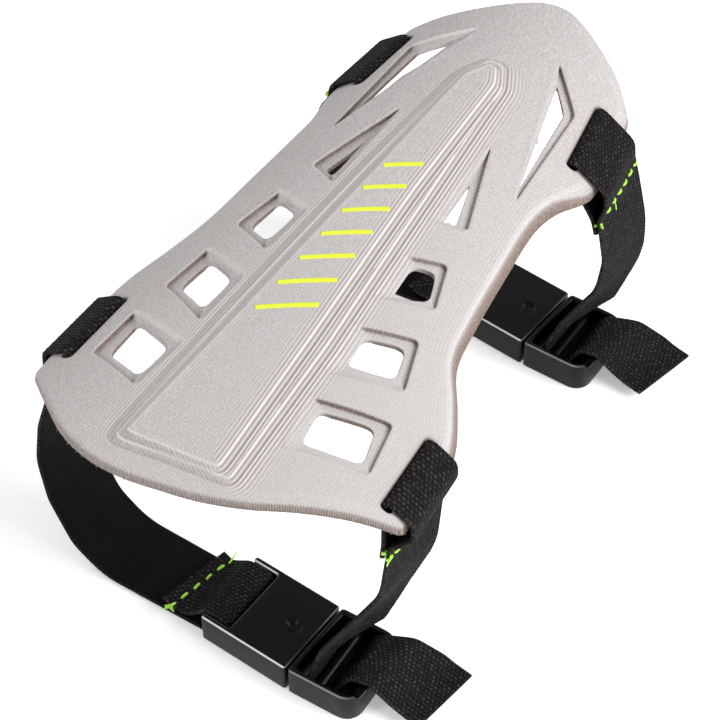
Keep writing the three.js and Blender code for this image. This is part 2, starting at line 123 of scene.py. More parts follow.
# Raised panel: the rise of each step, and its rows of y, left, right
PANEL_STEPS = [
    (
        0.75,
        [
            (-85, -14.6, -12),
            (-84.2, -16.5, -3),
            (-83.4, -17, 6),
            (-82.7, -17.1, 12.4),
            (-81.6, -17.1, 13.6),
            (-79, -17, 13.5),
            (-40, -14.5, 12.6),
            (10, -11.2, 9.4),
            (52, -7.6, 6.6),
            (60, -3, 2.8),
        ],
    ),
    (
        0.95,
        [
            (-83, -13.2, -10),
            (-82.6, -14.6, 0),
            (-82.1, -15.1, 7.8),
            (-81.2, -15.2, 10.2),
            (-78.7, -15, 10.3),
            (-40, -11.5, 8.9),
            (10, -8, 6.2),
            (51, -6, 5.2),
            (57.5, -2, 2.2),
        ],
    ),
]

# Slope of a panel step, its lip and foot, and the ripples on it. Bands here and below are the distance of
# the middle from the line they follow, and the half-width. Ripples wander along y by size, rate, start.
PANEL_RAMP = 1.4
LEFT_RAMP = 2.6
PANEL_LIP = 0.07
LIP_WIDTH = 0.6
FOOT_BAND = (-0.1, 0.5)
PANEL_RIPPLE = 0.04
LEFT_RIPPLE = 0.3
RIPPLE_BAND = (0.8, 1.4)
RIPPLE_WANDER = [(0.35, 0.31, 0), (0.3, 0.83, 1)]

# Fine folds of the knit along the panel steps and the right rim: bumps, with painted highlights on the
# ridges and painted shade in the valleys
LEFT_FOLD_PITCH = 0.8
RIGHT_FOLD_PITCH = 0.9
RIM_FOLD_PITCH = 0.8
STEP_FOLDS = 0.9
LEFT_FOLDS = 0.4
RIM_FOLDS = 0.09
FOLD_REACH = 3.2
RIM_FOLD_BAND = (3, 6)
FOLD_FLOOR = 1

# Painted light on the knit: highlights on the steps' crests, the left windows' lips and the right rim, shade
# at the steps' feet
LEFT_CREST_HIGHLIGHT = 1.3
RIGHT_CREST_HIGHLIGHT = 0.5
CREST_WIDTH = 0.3
FOOT_SHADE = 0.7
SHADE_BAND = (0.05, 0.3)
WINDOW_LIP_HIGHLIGHT = 2
WINDOW_LIP_BAND = (0.1, 0.45)
RIM_HIGHLIGHT = 0.9
RIM_HIGHLIGHT_BAND = (2, 0.6)

# Weave of the knit, the spans over which its twill fades towards the wrist end and the left side, and
# the ticks on cut foam
TWILL_ANGLE = -62
TWILL_PERIOD = 0.66
CROSS_ANGLE = 14
CROSS_PERIOD = 0.5
TWILL_FADE = 0.55
TWILL_FADE_SPAN = (-30, 50)
TWILL_LEFT = 0.6
TWILL_LEFT_SPAN = (-15, 15)
TICK_PITCH = 0.55

# Drawn lines are followed at a fine spacing, softened, and followed again at a wider one
DRAWN_SPACING = 0.2
OUTLINE_SOFTNESS = 0.9
OUTLINE_SPACING = 0.75
PANEL_SOFTNESS = 1.3
PANEL_SPACING = 0.4
ADJUSTER_SOFTNESS = 0.7
ADJUSTER_LINE_SPACING = 0.35

# Spacing of the points that the meshes are made from, and their clearance from the edges. The rows across
# a panel step are given as first depth, last depth, spacing.
LOOP_SPACING = 0.8
BAY_LOOP_SPACING = 0.6
TOP_SPACING = 1.1
BOTTOM_SPACING = 2.5
POINT_CLEARANCE = 0.4
STEP_ROWS = (-1.2, 2.6, 0.225)
SOCKET_SPACING = 1.2
SOCKET_CLEARANCE = 0.15
ADJUSTER_SPACING = 1.0
ADJUSTER_CLEARANCE = 0.2
PRINT_SPACING = 0.3

# Vent windows of each side by distance from the middle: corners of the hole and of the recess round it
RIGHT_WINDOWS = [
    (
        [(32.1, -60.6), (29.8, -50.8), (18.2, -55), (19.3, -64.4)],
        [(34.6, -62.2), (32.4, -47.8), (15.6, -53.4), (17.6, -67.3)],
    ),
    (
        [(27, -37.6), (24.8, -28.8), (16.3, -32.6), (17, -41.4)],
        [(30.2, -39.2), (26.3, -25.6), (14, -31.2), (14.8, -45.9)],
    ),
    (
        [(22.7, -14.8), (19.9, -6.4), (15, -8.8), (15.6, -19.3)],
        [(25, -16.3), (21.3, -3.5), (12.9, -7.6), (13.3, -21.8)],
    ),
    (
        [(17, 7.9), (13.6, 21.1), (14.2, 6.7)],
        [(20, 7.8), (12.4, 33.4), (12.6, 5)],
    ),
    (
        [(22.7, 28.5), (20.1, 56.7), (14.8, 63.3)],
        [(24.1, 24.2), (22.5, 57.9), (12.4, 69.1)],
    ),
]
LEFT_WINDOWS = [
    (
        [(31.4, -61.7), (31.2, -50.8), (19.4, -56), (20.6, -65.6)],
        [(35.3, -62.6), (34, -47.9), (17.2, -54), (19.6, -68.8)],
    ),
    (
        [(28.6, -37.5), (27, -27.6), (18.1, -32), (18.9, -42.5)],
        [(32.2, -38.2), (29.6, -24.2), (15.9, -30.8), (17.2, -46.5)],
    ),
    (
        [(24.6, -14.2), (22.9, -4.2), (16.2, -7.4), (17.5, -17.8)],
        [(28, -14.5), (24.3, -1.2), (14.2, -6.4), (15.9, -21.3)],
    ),
    (
        [(18.2, 9.2), (14.2, 23), (15.4, 7.6)],
        [(22, 9.6), (12.6, 35), (13.6, 4.6)],
    ),
    (
        [(24.6, 31), (22, 59), (14.2, 64.6)],
        [(25.9, 25), (24.8, 61.4), (10.6, 70)],
    ),
]
WINDOW_CORNER = 1.5
HOLE_CORNER = 2.4
TIP_CORNER = 1.2
CORNER_SHARE = 0.4
GENTLE_CUT = 0.06
STEEP_GAIN = 1.8
STEEP_START = 0.3
LEFT_STEEP = (-0.92, -0.4)
RIGHT_STEEP = (0.45, 0.89)

# Set-back of the rim's top edge on the right side: its size, the span of y that has it, and its fade at
# the ends of the span. More of the cut foam shows on that side too.
RIM_SLOPE = 1.4
RIM_SLOPE_SPAN = (-50, 42)
RIM_SLOPE_FADE = 10
RIGHT_CUT = 0.45

# Profile of the rim from the top surface down: distance out from its line, drop, and how much of the cut
# foam shows
RIM_PROFILE = [
    (-1.5, 0, 0),
    (-1.0, 0.01, 0),
    (-0.6, 0.06, 0),
    (-0.32, 0.18, 0.05),
    (-0.12, 0.4, 0.3),
    (0, 0.75, 0.55),
    (0.12, 1.3, 0.62),
    (0.22, 1.9, 0.7),
    (0.2, 2.45, 0.75),
    (0, 2.82, 0.6),
    (-0.45, 3, 0),
]

# Profile of a window: where the ring lies, its distance on a steep side and on a gentle side, its drop
# on each, and how much of the cut foam shows
WINDOW_PROFILE = [
    ("lip", 1.5, 1.6, 0, 0, 0),
    ("lip", 1.0, 1.1, -0.04, -0.04, 0),
    ("lip", 0.6, 0.7, -0.05, -0.12, 0),
    ("lip", 0.28, 0.4, 0.03, -0.1, 0),
    ("lip", 0.1, 0.15, 0.16, 0.02, 0.2),
    ("lip", 0.02, 0.02, 0.36, 0.14, 0.8),
    ("recess", 0.02, 0.3, 0.85, 0.24, 1),
    ("recess", 0.1, 0.7, 1.3, 0.3, 0.9),
    ("recess", 0.3, 1.0, 1.4, 0.4, 0.35),
    ("recess", 0.75, 1.3, 1.36, 0.48, 0.05),
    ("hole", 0.7, 0.7, 1.3, 0.62, 0),
    ("hole", 0.4, 0.45, 1.3, 0.72, 0),
    ("hole", 0.14, 0.25, 1.36, 0.9, 0.4),
    ("hole", 0.02, 0.1, 1.5, 1.2, 1),
    ("hole", 0, 0.02, 1.8, 1.6, 1),
    ("foot", -0.05, 0.15, 2.2, 2.0, 1),
    ("foot", 0.05, 0.7, 2.6, 2.45, 1),
    ("foot", 0.5, 1.5, 2.9, 2.85, 0.5),
    ("foot", 1.2, 2.1, 3, 3, 0),
]

# Slots, with the same columns as the rim
SLOT_PROFILE = [
    (1.0, 0, 0),
    (0.6, 0.05, 0),
    (0.28, 0.22, 0.1),
    (0.06, 0.55, 0.6),
    (0, 1.1, 1),
    (0, 2.2, 1),
    (0.2, 2.8, 0.6),
    (0.5, 3, 0),
]
SLOT_WIDTH = 2.6
SLOT_LENGTH = 22
SLOT_CORNER = SLOT_WIDTH / 2.2

# Elastic webbing
WEBBING_THICKNESS = 1.3
WEBBING_WIDTH = 21
CLEARANCE = 0.3
SEAM_PLY_OFFSET = 0.7
SEAM_ABOVE = 3
SEAM_BELOW = 4
OUTER_DROP = 5
RIBS = 19
RIB_HEIGHT = 0.13
LINK_LENGTH = 1.15
LINK_HEIGHT = 0.1
LINK_SLANT = 0.35
LINK_LOTS = (0.35, 1)
INNER_LINK_HEIGHT = 0.03
INNER_WEAVE = 0.25
RIB_LEVEL = 0.6
LINK_LEVEL = 0.4
LINK_FLOOR = 0.1
EDGE_CROWDING = 0.1
SKIN_INSET = 0.05
SELVEDGE = 0.7
SELVEDGE_PITCH = 0.75
SELVEDGE_SPAN = (0.95, 0.99)
WEAVE_STEP = 0.29
OUTER_COLUMNS = 95
INNER_COLUMNS = 38
PATH_BLUR = 2.2
TURN_SHARE = 0.48
SLOT_PULL = 0.62
SLOT_RISE = 0.3
SLOT_BEND = 1.6

# The straps: where the slots lie, where the plies are sewn, the buckle, and the legs as rows of
# x, y, z, bend, width, yaw
STRAPS = {
    "elbow": {
        "y_left": -53.8,
        "y_right": -55.3,
        "slot_left": 41,
        "slot_right": 40.5,
        "slot_yaw": 2,
        "sewn_seam": (47, 60, 1),
        "tail_seam": (41.9, 60, -0.4),
        "seam_turn": -6,
        "bulge_left": 0.15,
        "bulge_right": 0.3,
        "buckle": (20.6, -63.2),
        "socket_yaw": -6,
        "adjuster_yaw": -1.5,
        "tail_yaw": -12,
        "sewn_leg": [
            (-51.4, -55.6, 45, 15, 21, 0),
            (-52.6, -56.6, 33, 20, 21, 0),
            (-50.4, -57.4, 20, 15, 20.6, 0),
            (-44.5, -58, 7, 10, 20.2, 0),
            (-36, -58.6, 0.8, 14, 20, 0),
        ],
        "tail_leg": [
            (42, -57.2, 44, 20, 20.6, -8),
            (36.5, -60, 31, 25, 19.8, -15),
            (30.6, -62.4, 16.5, 15, 18, -26),
        ],
    },
    "wrist": {
        "y_left": 56.6,
        "y_right": 55,
        "slot_left": 29.8,
        "slot_right": 27.2,
        "slot_yaw": 7,
        "sewn_seam": (41.4, 60, 0.6),
        "tail_seam": (36.4, 60, 1),
        "seam_turn": -2,
        "bulge_left": 1,
        "bulge_right": 1.5,
        "buckle": (21.4, 54.2),
        "socket_yaw": -8,
        "adjuster_yaw": -3.5,
        "tail_yaw": -17,
        "sewn_leg": [
            (-42.6, 56.4, 46, 15, 21, 0),
            (-44.6, 56.4, 33, 20, 21, 0),
            (-42.8, 56.6, 19, 15, 20.6, 0),
            (-37, 57, 6.5, 10, 20.2, 0),
            (-29, 57.6, 0.8, 14, 20, 0),
        ],
        "tail_leg": [
            (39.8, 55.4, 47, 20, 20.6, -4),
            (39.6, 55.4, 36, 25, 20.2, -10),
            (32.2, 54.6, 17, 20, 18, -25),
        ],
    },
}

# Webbing round the bars of the buckle halves: x, z, shift, bend, width
SOCKET_WRAP = [
    (-29, 0.8, 0, 0, 19.4),
    (-19.2, 0.8, 0, 1.6, 18),
    (-19.2, 8.1, 0.2, 1.6, 18.2),
    (-25.4, 8.2, 0.2, 4, 18.4),
    (-31, 2.8, 0.2, 4, 20),
    (-33.6, 2.8, 0, 3, 20),
    (-36.4, 4.3, 0, 0, 20),
]
ADJUSTER_WRAP = [
    (3.4, 7.2, 0, 1.6, 18),
    (3.4, 1.95, 0, 1.6, 18),
    (8.2, 1.95, 0.4, 2, 17.2),
    (12.2, 8.5, 1.8, 2.5, 14.8),
    (18.2, 8.3, 4.2, 4, 17.6),
    (24.5, 4.9, 4.9, 6, 19.4),
    (28, 3.5, 4.8, 6, 19.4),
    (32.6, 2.9, 4.4, 0, 19.4),
]
FLAP_BEND = -32
FLAP_SKEW = -10

# Buckle halves, with the joint between them at 0
BUCKLE_HALF_WIDTH = 10.9
BUCKLE_HEIGHT = 8.8
BUCKLE_CHAMFER = 0.28
CHAMFER_SOFT = 0.12
CHAMFER_TURN = 0.02
# Share of the pale edge colour on every edge, as wear and painted highlight, and its strength on the
# adjuster
ALL_EDGES_WEAR_AND_HIGHLIGHT = 0.12
ADJUSTER_HIGHLIGHT_AND_WEAR = 0.3
BUCKLE_BEVEL = 0.42
BAY_BEVEL = 0.35
SOCKET_CORNER = 0.85
ADJUSTER_CORNER = 4.2
BAY_CORNER = 1.2
BAY_HALF_WIDTH = 9.5
BAY_PLATE_TOP = 0.7
TAIL_NOTCH = 0.2
NOTCH_NEAR = 8.9
NOTCH_FAR = 10.4
NOTCH_SLOPE = 0.9
SOCKET_END = -25.2
PLATE_START = -17.6
JOINT_GAP = 0.3
JOINT_BOW = 0.06
ADJUSTER_END = 16.8
BAY_START = 1.7
BAY_END = 14.4
NOTCH_SPAN = (BAY_END - 0.9, BAY_END - 0.1)
BAR_RADIUS = 1.35
SUNK_IN = 0.5
SOCKET_BAR = (-22.2, 3.75)
ADJUSTER_BAR = (6, 4.3)
DIMPLE_X = -6
DIMPLE_RADIUS = 2.2
DIMPLE_DEPTH = 1.1
DIMPLE_RINGS = (0.2, 1.15, 9)
DIMPLE_CLEARANCE = 1.3

# Printed bars on the panel: y of the middle, length
PRINT_BARS = [
    (-36, 14),
    (-27.5, 13.2),
    (-19, 12.4),
    (-10.5, 11.6),
    (-2, 10.8),
    (6.5, 10),
    (15, 9.2),
]
PRINT_WIDTH = 1.3
PRINT_SLANT = 32
PRINT_FILM = 0.08

# Loose fibres on the rim of the elbow end: ranges of how far down they start, how they lean out and down,
# and their length
FIBRES = 260
FIBRE_LEFT = -30
FIBRE_NEAR = -58
FIBRE_RADIUS = 0.045
FIBRE_DROP = (0.8, 2.9)
FIBRE_OUT = (0.3, 1)
FIBRE_DOWN = (0.2, 1.1)
FIBRE_STRAY = 0.35
FIBRE_LENGTH = (0.2, 0.6)
FIBRE_SAG = 0.25
FIBRE_TAPER = (1, 0.8, 0.3)
FIBRE_STAND = 0.05

# Sewing thread
THREAD_RADIUS = 0.36
STITCH_LENGTH = 1.9
STITCH_RISE = 0.14
STITCH_DIP = 0.5
STITCH_LEAN = 0.12
STITCH_SPREAD = (0.85, 1.1)
LOOSE_SPREAD = (0.6, 1.1)
LOOSE_SPLAY = 0.5
LOOSE_LIFT = 0.4
LOOSE_CURL = 0.6
LOOSE_TAPER = (0.8, 0.45)

# Rows of stitches: strap, face, first place and share, last place and share, count. Face 1 is the ribbed
# one. Places run along the strap, a place below 0 from its end, and shares across it from -1 to 1.
SEAM_ROWS = [
    ("elbow_strap_sewn", 1, -3.2, 0.6, -3.2, -0.97, 5),
    ("elbow_strap_sewn", 1, 38, 0.9, 38, -0.9, 7),
    ("elbow_strap_sewn", -1, 3, 0.9, 3, -0.9, 7),
    ("elbow_strap_tail", 1, 41.8, -0.7, 41.8, -0.97, 2),
    ("elbow_strap_tail", -1, 2.6, 0.9, 2.6, -0.95, 7),
    ("wrist_strap_sewn", 1, -3.2, 0.9, -3.2, 0.1, 4),
    ("wrist_strap_sewn", 1, 36, 0.9, 36, -0.97, 7),
    ("wrist_strap_sewn", -1, 3, 0.9, 3, -0.9, 7),
    ("wrist_strap_tail", 1, 40.6, 0.85, 41, -0.8, 6),
    ("wrist_strap_tail", -1, 3, 0.9, 3, -0.9, 7),
]

# Loose ends of the thread: strap, face, place, share, count, length
LOOSE_ENDS = [
    ("elbow_strap_sewn", 1, -3.2, -1, 8, 2.2),
    ("elbow_strap_sewn", 1, -4.2, 0.8, 1, 3),
    ("elbow_strap_tail", 1, 41.8, -0.95, 6, 1.5),
    ("elbow_strap_tail", -1, 2.4, -0.9, 5, 1.5),
    ("wrist_strap_tail", 1, 42, -0.4, 2, 2.4),
    ("wrist_strap_tail", 1, 44.6, -0.95, 3, 1.2),
]

rng = np.random.default_rng(SEED)


def between(value, low, high):
    """Share of the way from low to high, held to 0 and 1."""
    return np.clip((value - low) / (high - low), 0, 1)


def bell(value, middle, width, power=2):
    """Smooth bump of height 1, flatter on top for a higher power."""
    return np.exp(-(((value - middle) / width) ** power))


def rotated(middle, x, y, degrees):
    """Plan places about a middle, turned by an angle."""
    turn = math.radians(degrees)
    return (
        middle[0] + x * math.cos(turn) - y * math.sin(turn),
        middle[1] + x * math.sin(turn) + y * math.cos(turn),
    )


def mirrored(corners, side):
    return [(side * x, y) for x, y in corners]


def table_curve(rows, column):
    """Smooth curve through a table column, by the first column."""
    keys = np.array([row[0] for row in rows], float)
    values = np.array([row[column] for row in rows], float)
    order = np.arange(len(keys))
    before = np.maximum(order - 1, 0)
    after = np.minimum(order + 1, len(keys) - 1)
    slopes = (values[after] - values[before]) / (keys[after] - keys[before])

    def curve(at):
        at = np.asarray(at, float)
        i = np.clip(np.searchsorted(keys, at) - 1, 0, len(keys) - 2)
        span = keys[i + 1] - keys[i]
        t = np.clip((at - keys[i]) / span, 0, 1)
        leaving = (values[i] * (1 + 2 * t) + slopes[i] * span * t) * (1 - t) ** 2
        arriving = (values[i + 1] * (3 - 2 * t) + slopes[i + 1] * span * (t - 1)) * t**2
        return leaving + arriving

    return curve


left_side = table_curve(SIDES, 1)
right_side = table_curve(SIDES, 2)
elbow_end = table_curve(ENDS, 1)
wrist_end = table_curve(ENDS, 2)

shell_low, shell_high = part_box("guard_shell")
ORIGIN = np.array([shell_high.x / METRES - SHELL_RIGHT, shell_low.y / METRES - SHELL_ELBOW, 0])


def surface_height(x, y):
    across = x / HALF_SPAN
    along = y / HALF_LENGTH
    bow = (BOW + WRIST_BOW * along) * across**2
    return CROWN_HEIGHT - bow - EDGE_DROP * across**4 - END_DROP * along**2


def resampled(points, spacing, closed):
    """Evenly spaced points along a line."""
    points = np.asarray(points, float)
    if closed:
        points = np.vstack([points, points[:1]])
    steps = np.linalg.norm(np.diff(points, axis=0), axis=1)
    length = np.concatenate([[0], np.cumsum(steps)])
    count = max(int(round(length[-1] / spacing)), 3)
    at = np.linspace(0, length[-1], count + 1)
    if closed:
        at = at[:-1]
    return np.stack([np.interp(at, length, column) for column in points.T], axis=1)


def softened(loop, reach):
    """Closed loop of evenly spaced points with its corners rounded."""
    spacing = np.linalg.norm(loop[1] - loop[0])
    waves = np.fft.fftfreq(len(loop))[:, None]
    keep = np.exp(-2 * (math.pi * waves * reach / spacing) ** 2)
    return np.real(np.fft.ifft(np.fft.fft(loop, axis=0) * keep, axis=0))


def loop_normals(loop):
    along = np.roll(loop, -1, axis=0) - np.roll(loop, 1, axis=0)
    normals = np.stack([along[:, 1], -along[:, 0]], axis=1)
    return normals / np.linalg.norm(normals, axis=1, keepdims=True)


def rounded_loop(corners, radius, spacing, guide=None):
    """Anticlockwise loop with rounded corners. Loops with one guide have points that match in order."""
    corners = np.array(corners, float)
    guide = corners if guide is None else np.array(guide, float)
    turned = np.roll(guide, -1, axis=0)
    if np.sum(guide[:, 0] * turned[:, 1] - guide[:, 1] * turned[:, 0]) < 0:
        corners, guide = corners[::-1], guide[::-1]
    points = []
    for i in range(len(corners)):
        before, corner, after = corners[i - 1], corners[i], corners[(i + 1) % len(corners)]
        reach_in = min(radius / np.linalg.norm(before - corner), CORNER_SHARE)
        reach_out = min(radius / np.linalg.norm(after - corner), CORNER_SHARE)
        start = corner + (before - corner) * reach_in
        end = corner + (after - corner) * reach_out
        for t in np.linspace(0, 1, 7):
            points.append(start * (1 - t) ** 2 + corner * 2 * t * (1 - t) + end * t**2)
        side_end = after + (corner - after) * reach_out
        side = np.linalg.norm(guide[(i + 1) % len(guide)] - guide[i])
        count = max(int(round(side / spacing)), 2)
        for t in np.linspace(0, 1, count + 1)[1:-1]:
            points.append(end + (side_end - end) * t)
    return np.array(points)


def inside(points, loop):
    """Which plan points lie inside a loop."""
    x, y = points[:, 0], points[:, 1]
    found = np.zeros(len(points), bool)
    low, high = loop.min(axis=0), loop.max(axis=0)
    near = np.where((x >= low[0]) & (x <= high[0]) & (y >= low[1]) & (y <= high[1]))[0]
    px, py = x[near], y[near]
    odd = np.zeros(len(near), bool)
    for (ax, ay), (bx, by) in zip(loop, np.roll(loop, -1, axis=0)):
        if ay == by:
            continue
        crosses = (ay > py) != (by > py)
        odd ^= crosses & (px < (bx - ax) * (py - ay) / (by - ay) + ax)
    found[near] = odd
    return found


def nearest(points, line):
    """Distance of plan points to the nearest point of a dense line, and that point's index."""
    best = np.full(len(points), np.inf)
    index = np.zeros(len(points), int)
    rows = np.arange(len(points))
    for start in range(0, len(line), 64):
        part = line[start : start + 64]
        gaps = ((points[:, None, :] - part[None, :, :]) ** 2).sum(axis=2)
        closest = gaps.argmin(axis=1)
        found = gaps[rows, closest]
        nearer = found < best
        best[nearer] = found[nearer]
        index[nearer] = start + closest[nearer]
    return np.sqrt(best), index


def distance_to(points, line):
    return nearest(points, line)[0]


def filled(loops, extra, clear):
    """Triangles between an outer loop and the loops inside it, through extra points well clear of them."""
    edge_points = np.vstack(loops)
    keep = inside(extra, loops[0])
    for hole in loops[1:]:
        keep &= ~inside(extra, hole)
    extra = extra[keep]
    extra = extra[distance_to(extra, edge_points) > clear]
    points = np.vstack([edge_points, extra])
    edges = []
    start = 0
    for loop in loops:
        count = len(loop)
        edges += [(start + i, start + (i + 1) % count) for i in range(count)]
        start += count
    made = delaunay_2d_cdt([Vector(p) for p in points], edges, [], 0, 1e-7)
    plan = np.array([tuple(p) for p in made[0]])
    triangles = np.array([face for face in made[2]])
    middles = plan[triangles].mean(axis=1)
    keep = inside(middles, loops[0])
    for hole in loops[1:]:
        keep &= ~inside(middles, hole)
    where = np.zeros(len(points), int)
    for index, sources in enumerate(made[3]):
        for source in sources:
            where[source] = index
    return plan, triangles[keep], where[: len(edge_points)]


def plate(stacks, top_points, bottom_points, top_height, bottom_height, clear):
    """Closed plate from stacks of rings, the outer edge first and then each hole, with both faces filled."""
    vertices, faces, marks, runs = [], [], [], []
    total = 0
    ring_starts = []
    for rings, ring_marks in stacks:
        starts = []
        for ring, mark in zip(rings, ring_marks):
            starts.append(total)
            vertices.append(ring)
            marks.append(np.broadcast_to(np.asarray(mark, float), len(ring)))
            steps = np.linalg.norm(np.diff(rings[0], axis=0), axis=1)
            runs.append(np.concatenate([[0], np.cumsum(steps)]))
            total += len(ring)
        ring_starts.append(starts)
    for (rings, _), starts in zip(stacks, ring_starts):
        count = len(rings[0])
        for upper, lower in zip(starts[:-1], starts[1:]):
            for i in range(count):
                j = (i + 1) % count
                faces.append((upper + i, lower + i, lower + j, upper + j))
    for level, extra, height in ((0, top_points, top_height), (-1, bottom_points, bottom_height)):
        loops = [rings[level][:, :2] for rings, _ in stacks]
        plan, triangles, where = filled(loops, extra, clear)
        names = np.full(len(plan), -1, int)
        source = np.concatenate(
            [np.arange(starts[level], starts[level] + len(rings[level]))
             for (rings, _), starts in zip(stacks, ring_starts)]
        )
        names[where] = source
        fresh = np.where(names < 0)[0]
        names[fresh] = total + np.arange(len(fresh))
        spots = plan[fresh]
        vertices.append(np.column_stack([spots, height(spots[:, 0], spots[:, 1])]))
        marks.append(np.zeros(len(fresh)))
        runs.append(np.zeros(len(fresh)))
        total += len(fresh)
        faces += [tuple(face) for face in names[triangles]]
    return np.vstack(vertices), faces, np.concatenate(marks), np.concatenate(runs)


def hex_points(low, high, spacing):
    """Staggered grid of plan points."""
    rows = np.arange(low[1], high[1], spacing * math.sqrt(3) / 2)
    columns = np.arange(low[0], high[0], spacing)
    x, y = np.meshgrid(columns, rows)
    x = x + (np.arange(len(rows)) % 2)[:, None] * spacing / 2
    return np.column_stack([x.ravel(), y.ravel()])


def add_piece(name, vertices, faces, material, marks=None):
    """Mesh piece in the part's frame, riding on its one body."""
    mesh = bpy.data.meshes.new(name)
    points = (np.asarray(vertices, float) + ORIGIN) * METRES
    mesh.from_pydata(points.tolist(), [], [tuple(int(i) for i in face) for face in faces])
    for attribute, values in (marks or {}).items():
        layer = mesh.attributes.new(attribute, "FLOAT", "POINT")
        layer.data.foreach_set("value", np.asarray(values, np.float32))
    shaped = bmesh.new()
    shaped.from_mesh(mesh)
    bmesh.ops.recalc_face_normals(shaped, faces=shaped.faces)
    shaped.to_mesh(mesh)
    shaped.free()
    mesh.polygons.foreach_set("use_smooth", np.ones(len(mesh.polygons), bool))
    mesh.materials.append(material)
    made = bpy.data.objects.new(name, mesh)
    bpy.context.scene.collection.objects.link(made)
    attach(made, BODY)
    return made


def node(tree, kind, links=(), **values):
    """Shader node with its settings and inputs: an input is a value, or another node's output."""
    made = tree.nodes.new(kind)
    for key, value in values.items():
        setattr(made, key, value)
    for name, value in links:
        socket = made.inputs[name]
        if isinstance(value, bpy.types.NodeSocket):
            tree.links.new(value, socket)
        else:
            socket.default_value = value
    return made


def base_material(name, **sockets):
    material = bpy.data.materials.new(name)
    material.use_nodes = True
    shader = material.node_tree.nodes["Principled BSDF"]
    for key, value in sockets.items():
        shader.inputs[key.replace("_", " ")].default_value = value
    return material, material.node_tree, shader


def linear(red, green, blue):
    """Colour from sRGB values of 0 to 255."""
    channels = [c / 255 for c in (red, green, blue)]
    return tuple(c / 12.92 if c <= 0.04045 else ((c + 0.055) / 1.055) ** 2.4 for c in channels) + (1,)


def bands(tree, place, angle, period):
    """Sine bands of a period in millimetres, across a direction in the plan."""
    turn = ("Rotation", (0, 0, math.radians(angle)))
    way = node(tree, "ShaderNodeMapping", [("Vector", place), turn]).outputs[0]
    scale = math.pi / 10 / (period * METRES)
    waver = [("Distortion", 1.4), ("Detail", 1.0), ("Detail Scale", 1.6)]
    wave = node(tree, "ShaderNodeTexWave", [("Vector", way), ("Scale", scale)] + waver)
    return wave.outputs["Fac"]


def object_place(tree):
    return node(tree, "ShaderNodeTexCoord").outputs["Object"]


def noise(tree, place, scale, detail):
    links = [("Vector", place), ("Scale", scale), ("Detail", detail)]
    return node(tree, "ShaderNodeTexNoise", links).outputs["Fac"]


def maths(tree, operation, first, second):
    made = node(tree, "ShaderNodeMath", [(0, first), (1, second)], operation=operation)
    return made.outputs[0]


def mixed(tree, share, first, second):
    made = node(tree, "ShaderNodeMix", data_type="RGBA", clamp_factor=True)
    for index, value in ((0, share), (6, first), (7, second)):
        if isinstance(value, bpy.types.NodeSocket):
            tree.links.new(value, made.inputs[index])
        else:
            made.inputs[index].default_value = value
    return made.outputs[2]


def attribute(tree, name):
    return node(tree, "ShaderNodeAttribute", attribute_name=name).outputs["Fac"]


def scaled(tree, value, factor, offset):
    """A value times a factor, plus an offset."""
    return maths(tree, "ADD", maths(tree, "MULTIPLY", value, factor), offset)


def sine(tree, value, pitch):
    """Waves from -1 to 1, one to each pitch."""
    return maths(tree, "SINE", maths(tree, "MULTIPLY", value, 2 * math.pi / pitch), 0)


def paint(tree, shader, colour):
    tree.links.new(colour, shader.inputs["Base Color"])


def emboss(tree, shader, height, strength, depth):
    """Bumps of a depth in millimetres."""
    links = [("Strength", strength), ("Distance", depth * METRES), ("Height", height)]
    bump = node(tree, "ShaderNodeBump", links)
    tree.links.new(bump.outputs["Normal"], shader.inputs["Normal"])


def knit_material():
    """Knit cover, with foam where it is cut, and painted highlights and shade on its folds, steps, window
    lips and right rim.
    """
    material, tree, shader = base_material("knit", Roughness=0.95, Specular_IOR_Level=0.2)
    place = object_place(tree)
    fuzz = noise(tree, place, 1900, 2)
    cloud = noise(tree, place, 45, 3)
    wale = attribute(tree, "wale")
    painted_light_and_shade = attribute(tree, "painted_light_and_shade")
    twill = bands(tree, place, TWILL_ANGLE, TWILL_PERIOD)
    cross = bands(tree, place, CROSS_ANGLE, CROSS_PERIOD)
    grain = scaled(tree, fuzz, 2.4, -0.7)
    weave = scaled(tree, twill, 0.44, maths(tree, "MULTIPLY", cross, 0.24))
    weave = scaled(tree, grain, 0.32, weave)
    weave = mixed(tree, attribute(tree, "twill"), grain, weave)
    line = scaled(tree, sine(tree, attribute(tree, "fold"), 1), 0.5, 0.5)
    height = mixed(tree, wale, weave, line)
    light = mixed(tree, cloud, linear(190, 188, 188), linear(197, 192, 191))
    dark = mixed(tree, cloud, linear(156, 153, 152), linear(161, 154, 152))
    knit = mixed(tree, height, dark, light)
    # Painted light on the fine folds: pale ridges are a painted highlight and brown valleys painted shade,
    # strongest where wale is high
    fold_light_and_shade = mixed(tree, line, linear(128, 116, 110), linear(222, 217, 215))
    knit = mixed(tree, maths(tree, "MULTIPLY", wale, 0.7), knit, fold_light_and_shade)
    # Painted light: paler knit where this mark is above 0 is a painted highlight, darker brown where it is
    # below 0 is painted shade
    knit = mixed(tree, maths(tree, "MULTIPLY", painted_light_and_shade, 0.3), knit, linear(226, 221, 219))
    knit = mixed(tree, maths(tree, "MULTIPLY", painted_light_and_shade, -0.5), knit, linear(118, 102, 95))
    tick = scaled(tree, sine(tree, attribute(tree, "run"), TICK_PITCH), 0.3, fuzz)
    foam = mixed(tree, tick, linear(62, 46, 39), linear(152, 134, 126))
    paint(tree, shader, mixed(tree, attribute(tree, "cut"), knit, foam))
    emboss(tree, shader, scaled(tree, fuzz, 0.8, height), 0.6, 0.15)
    return material


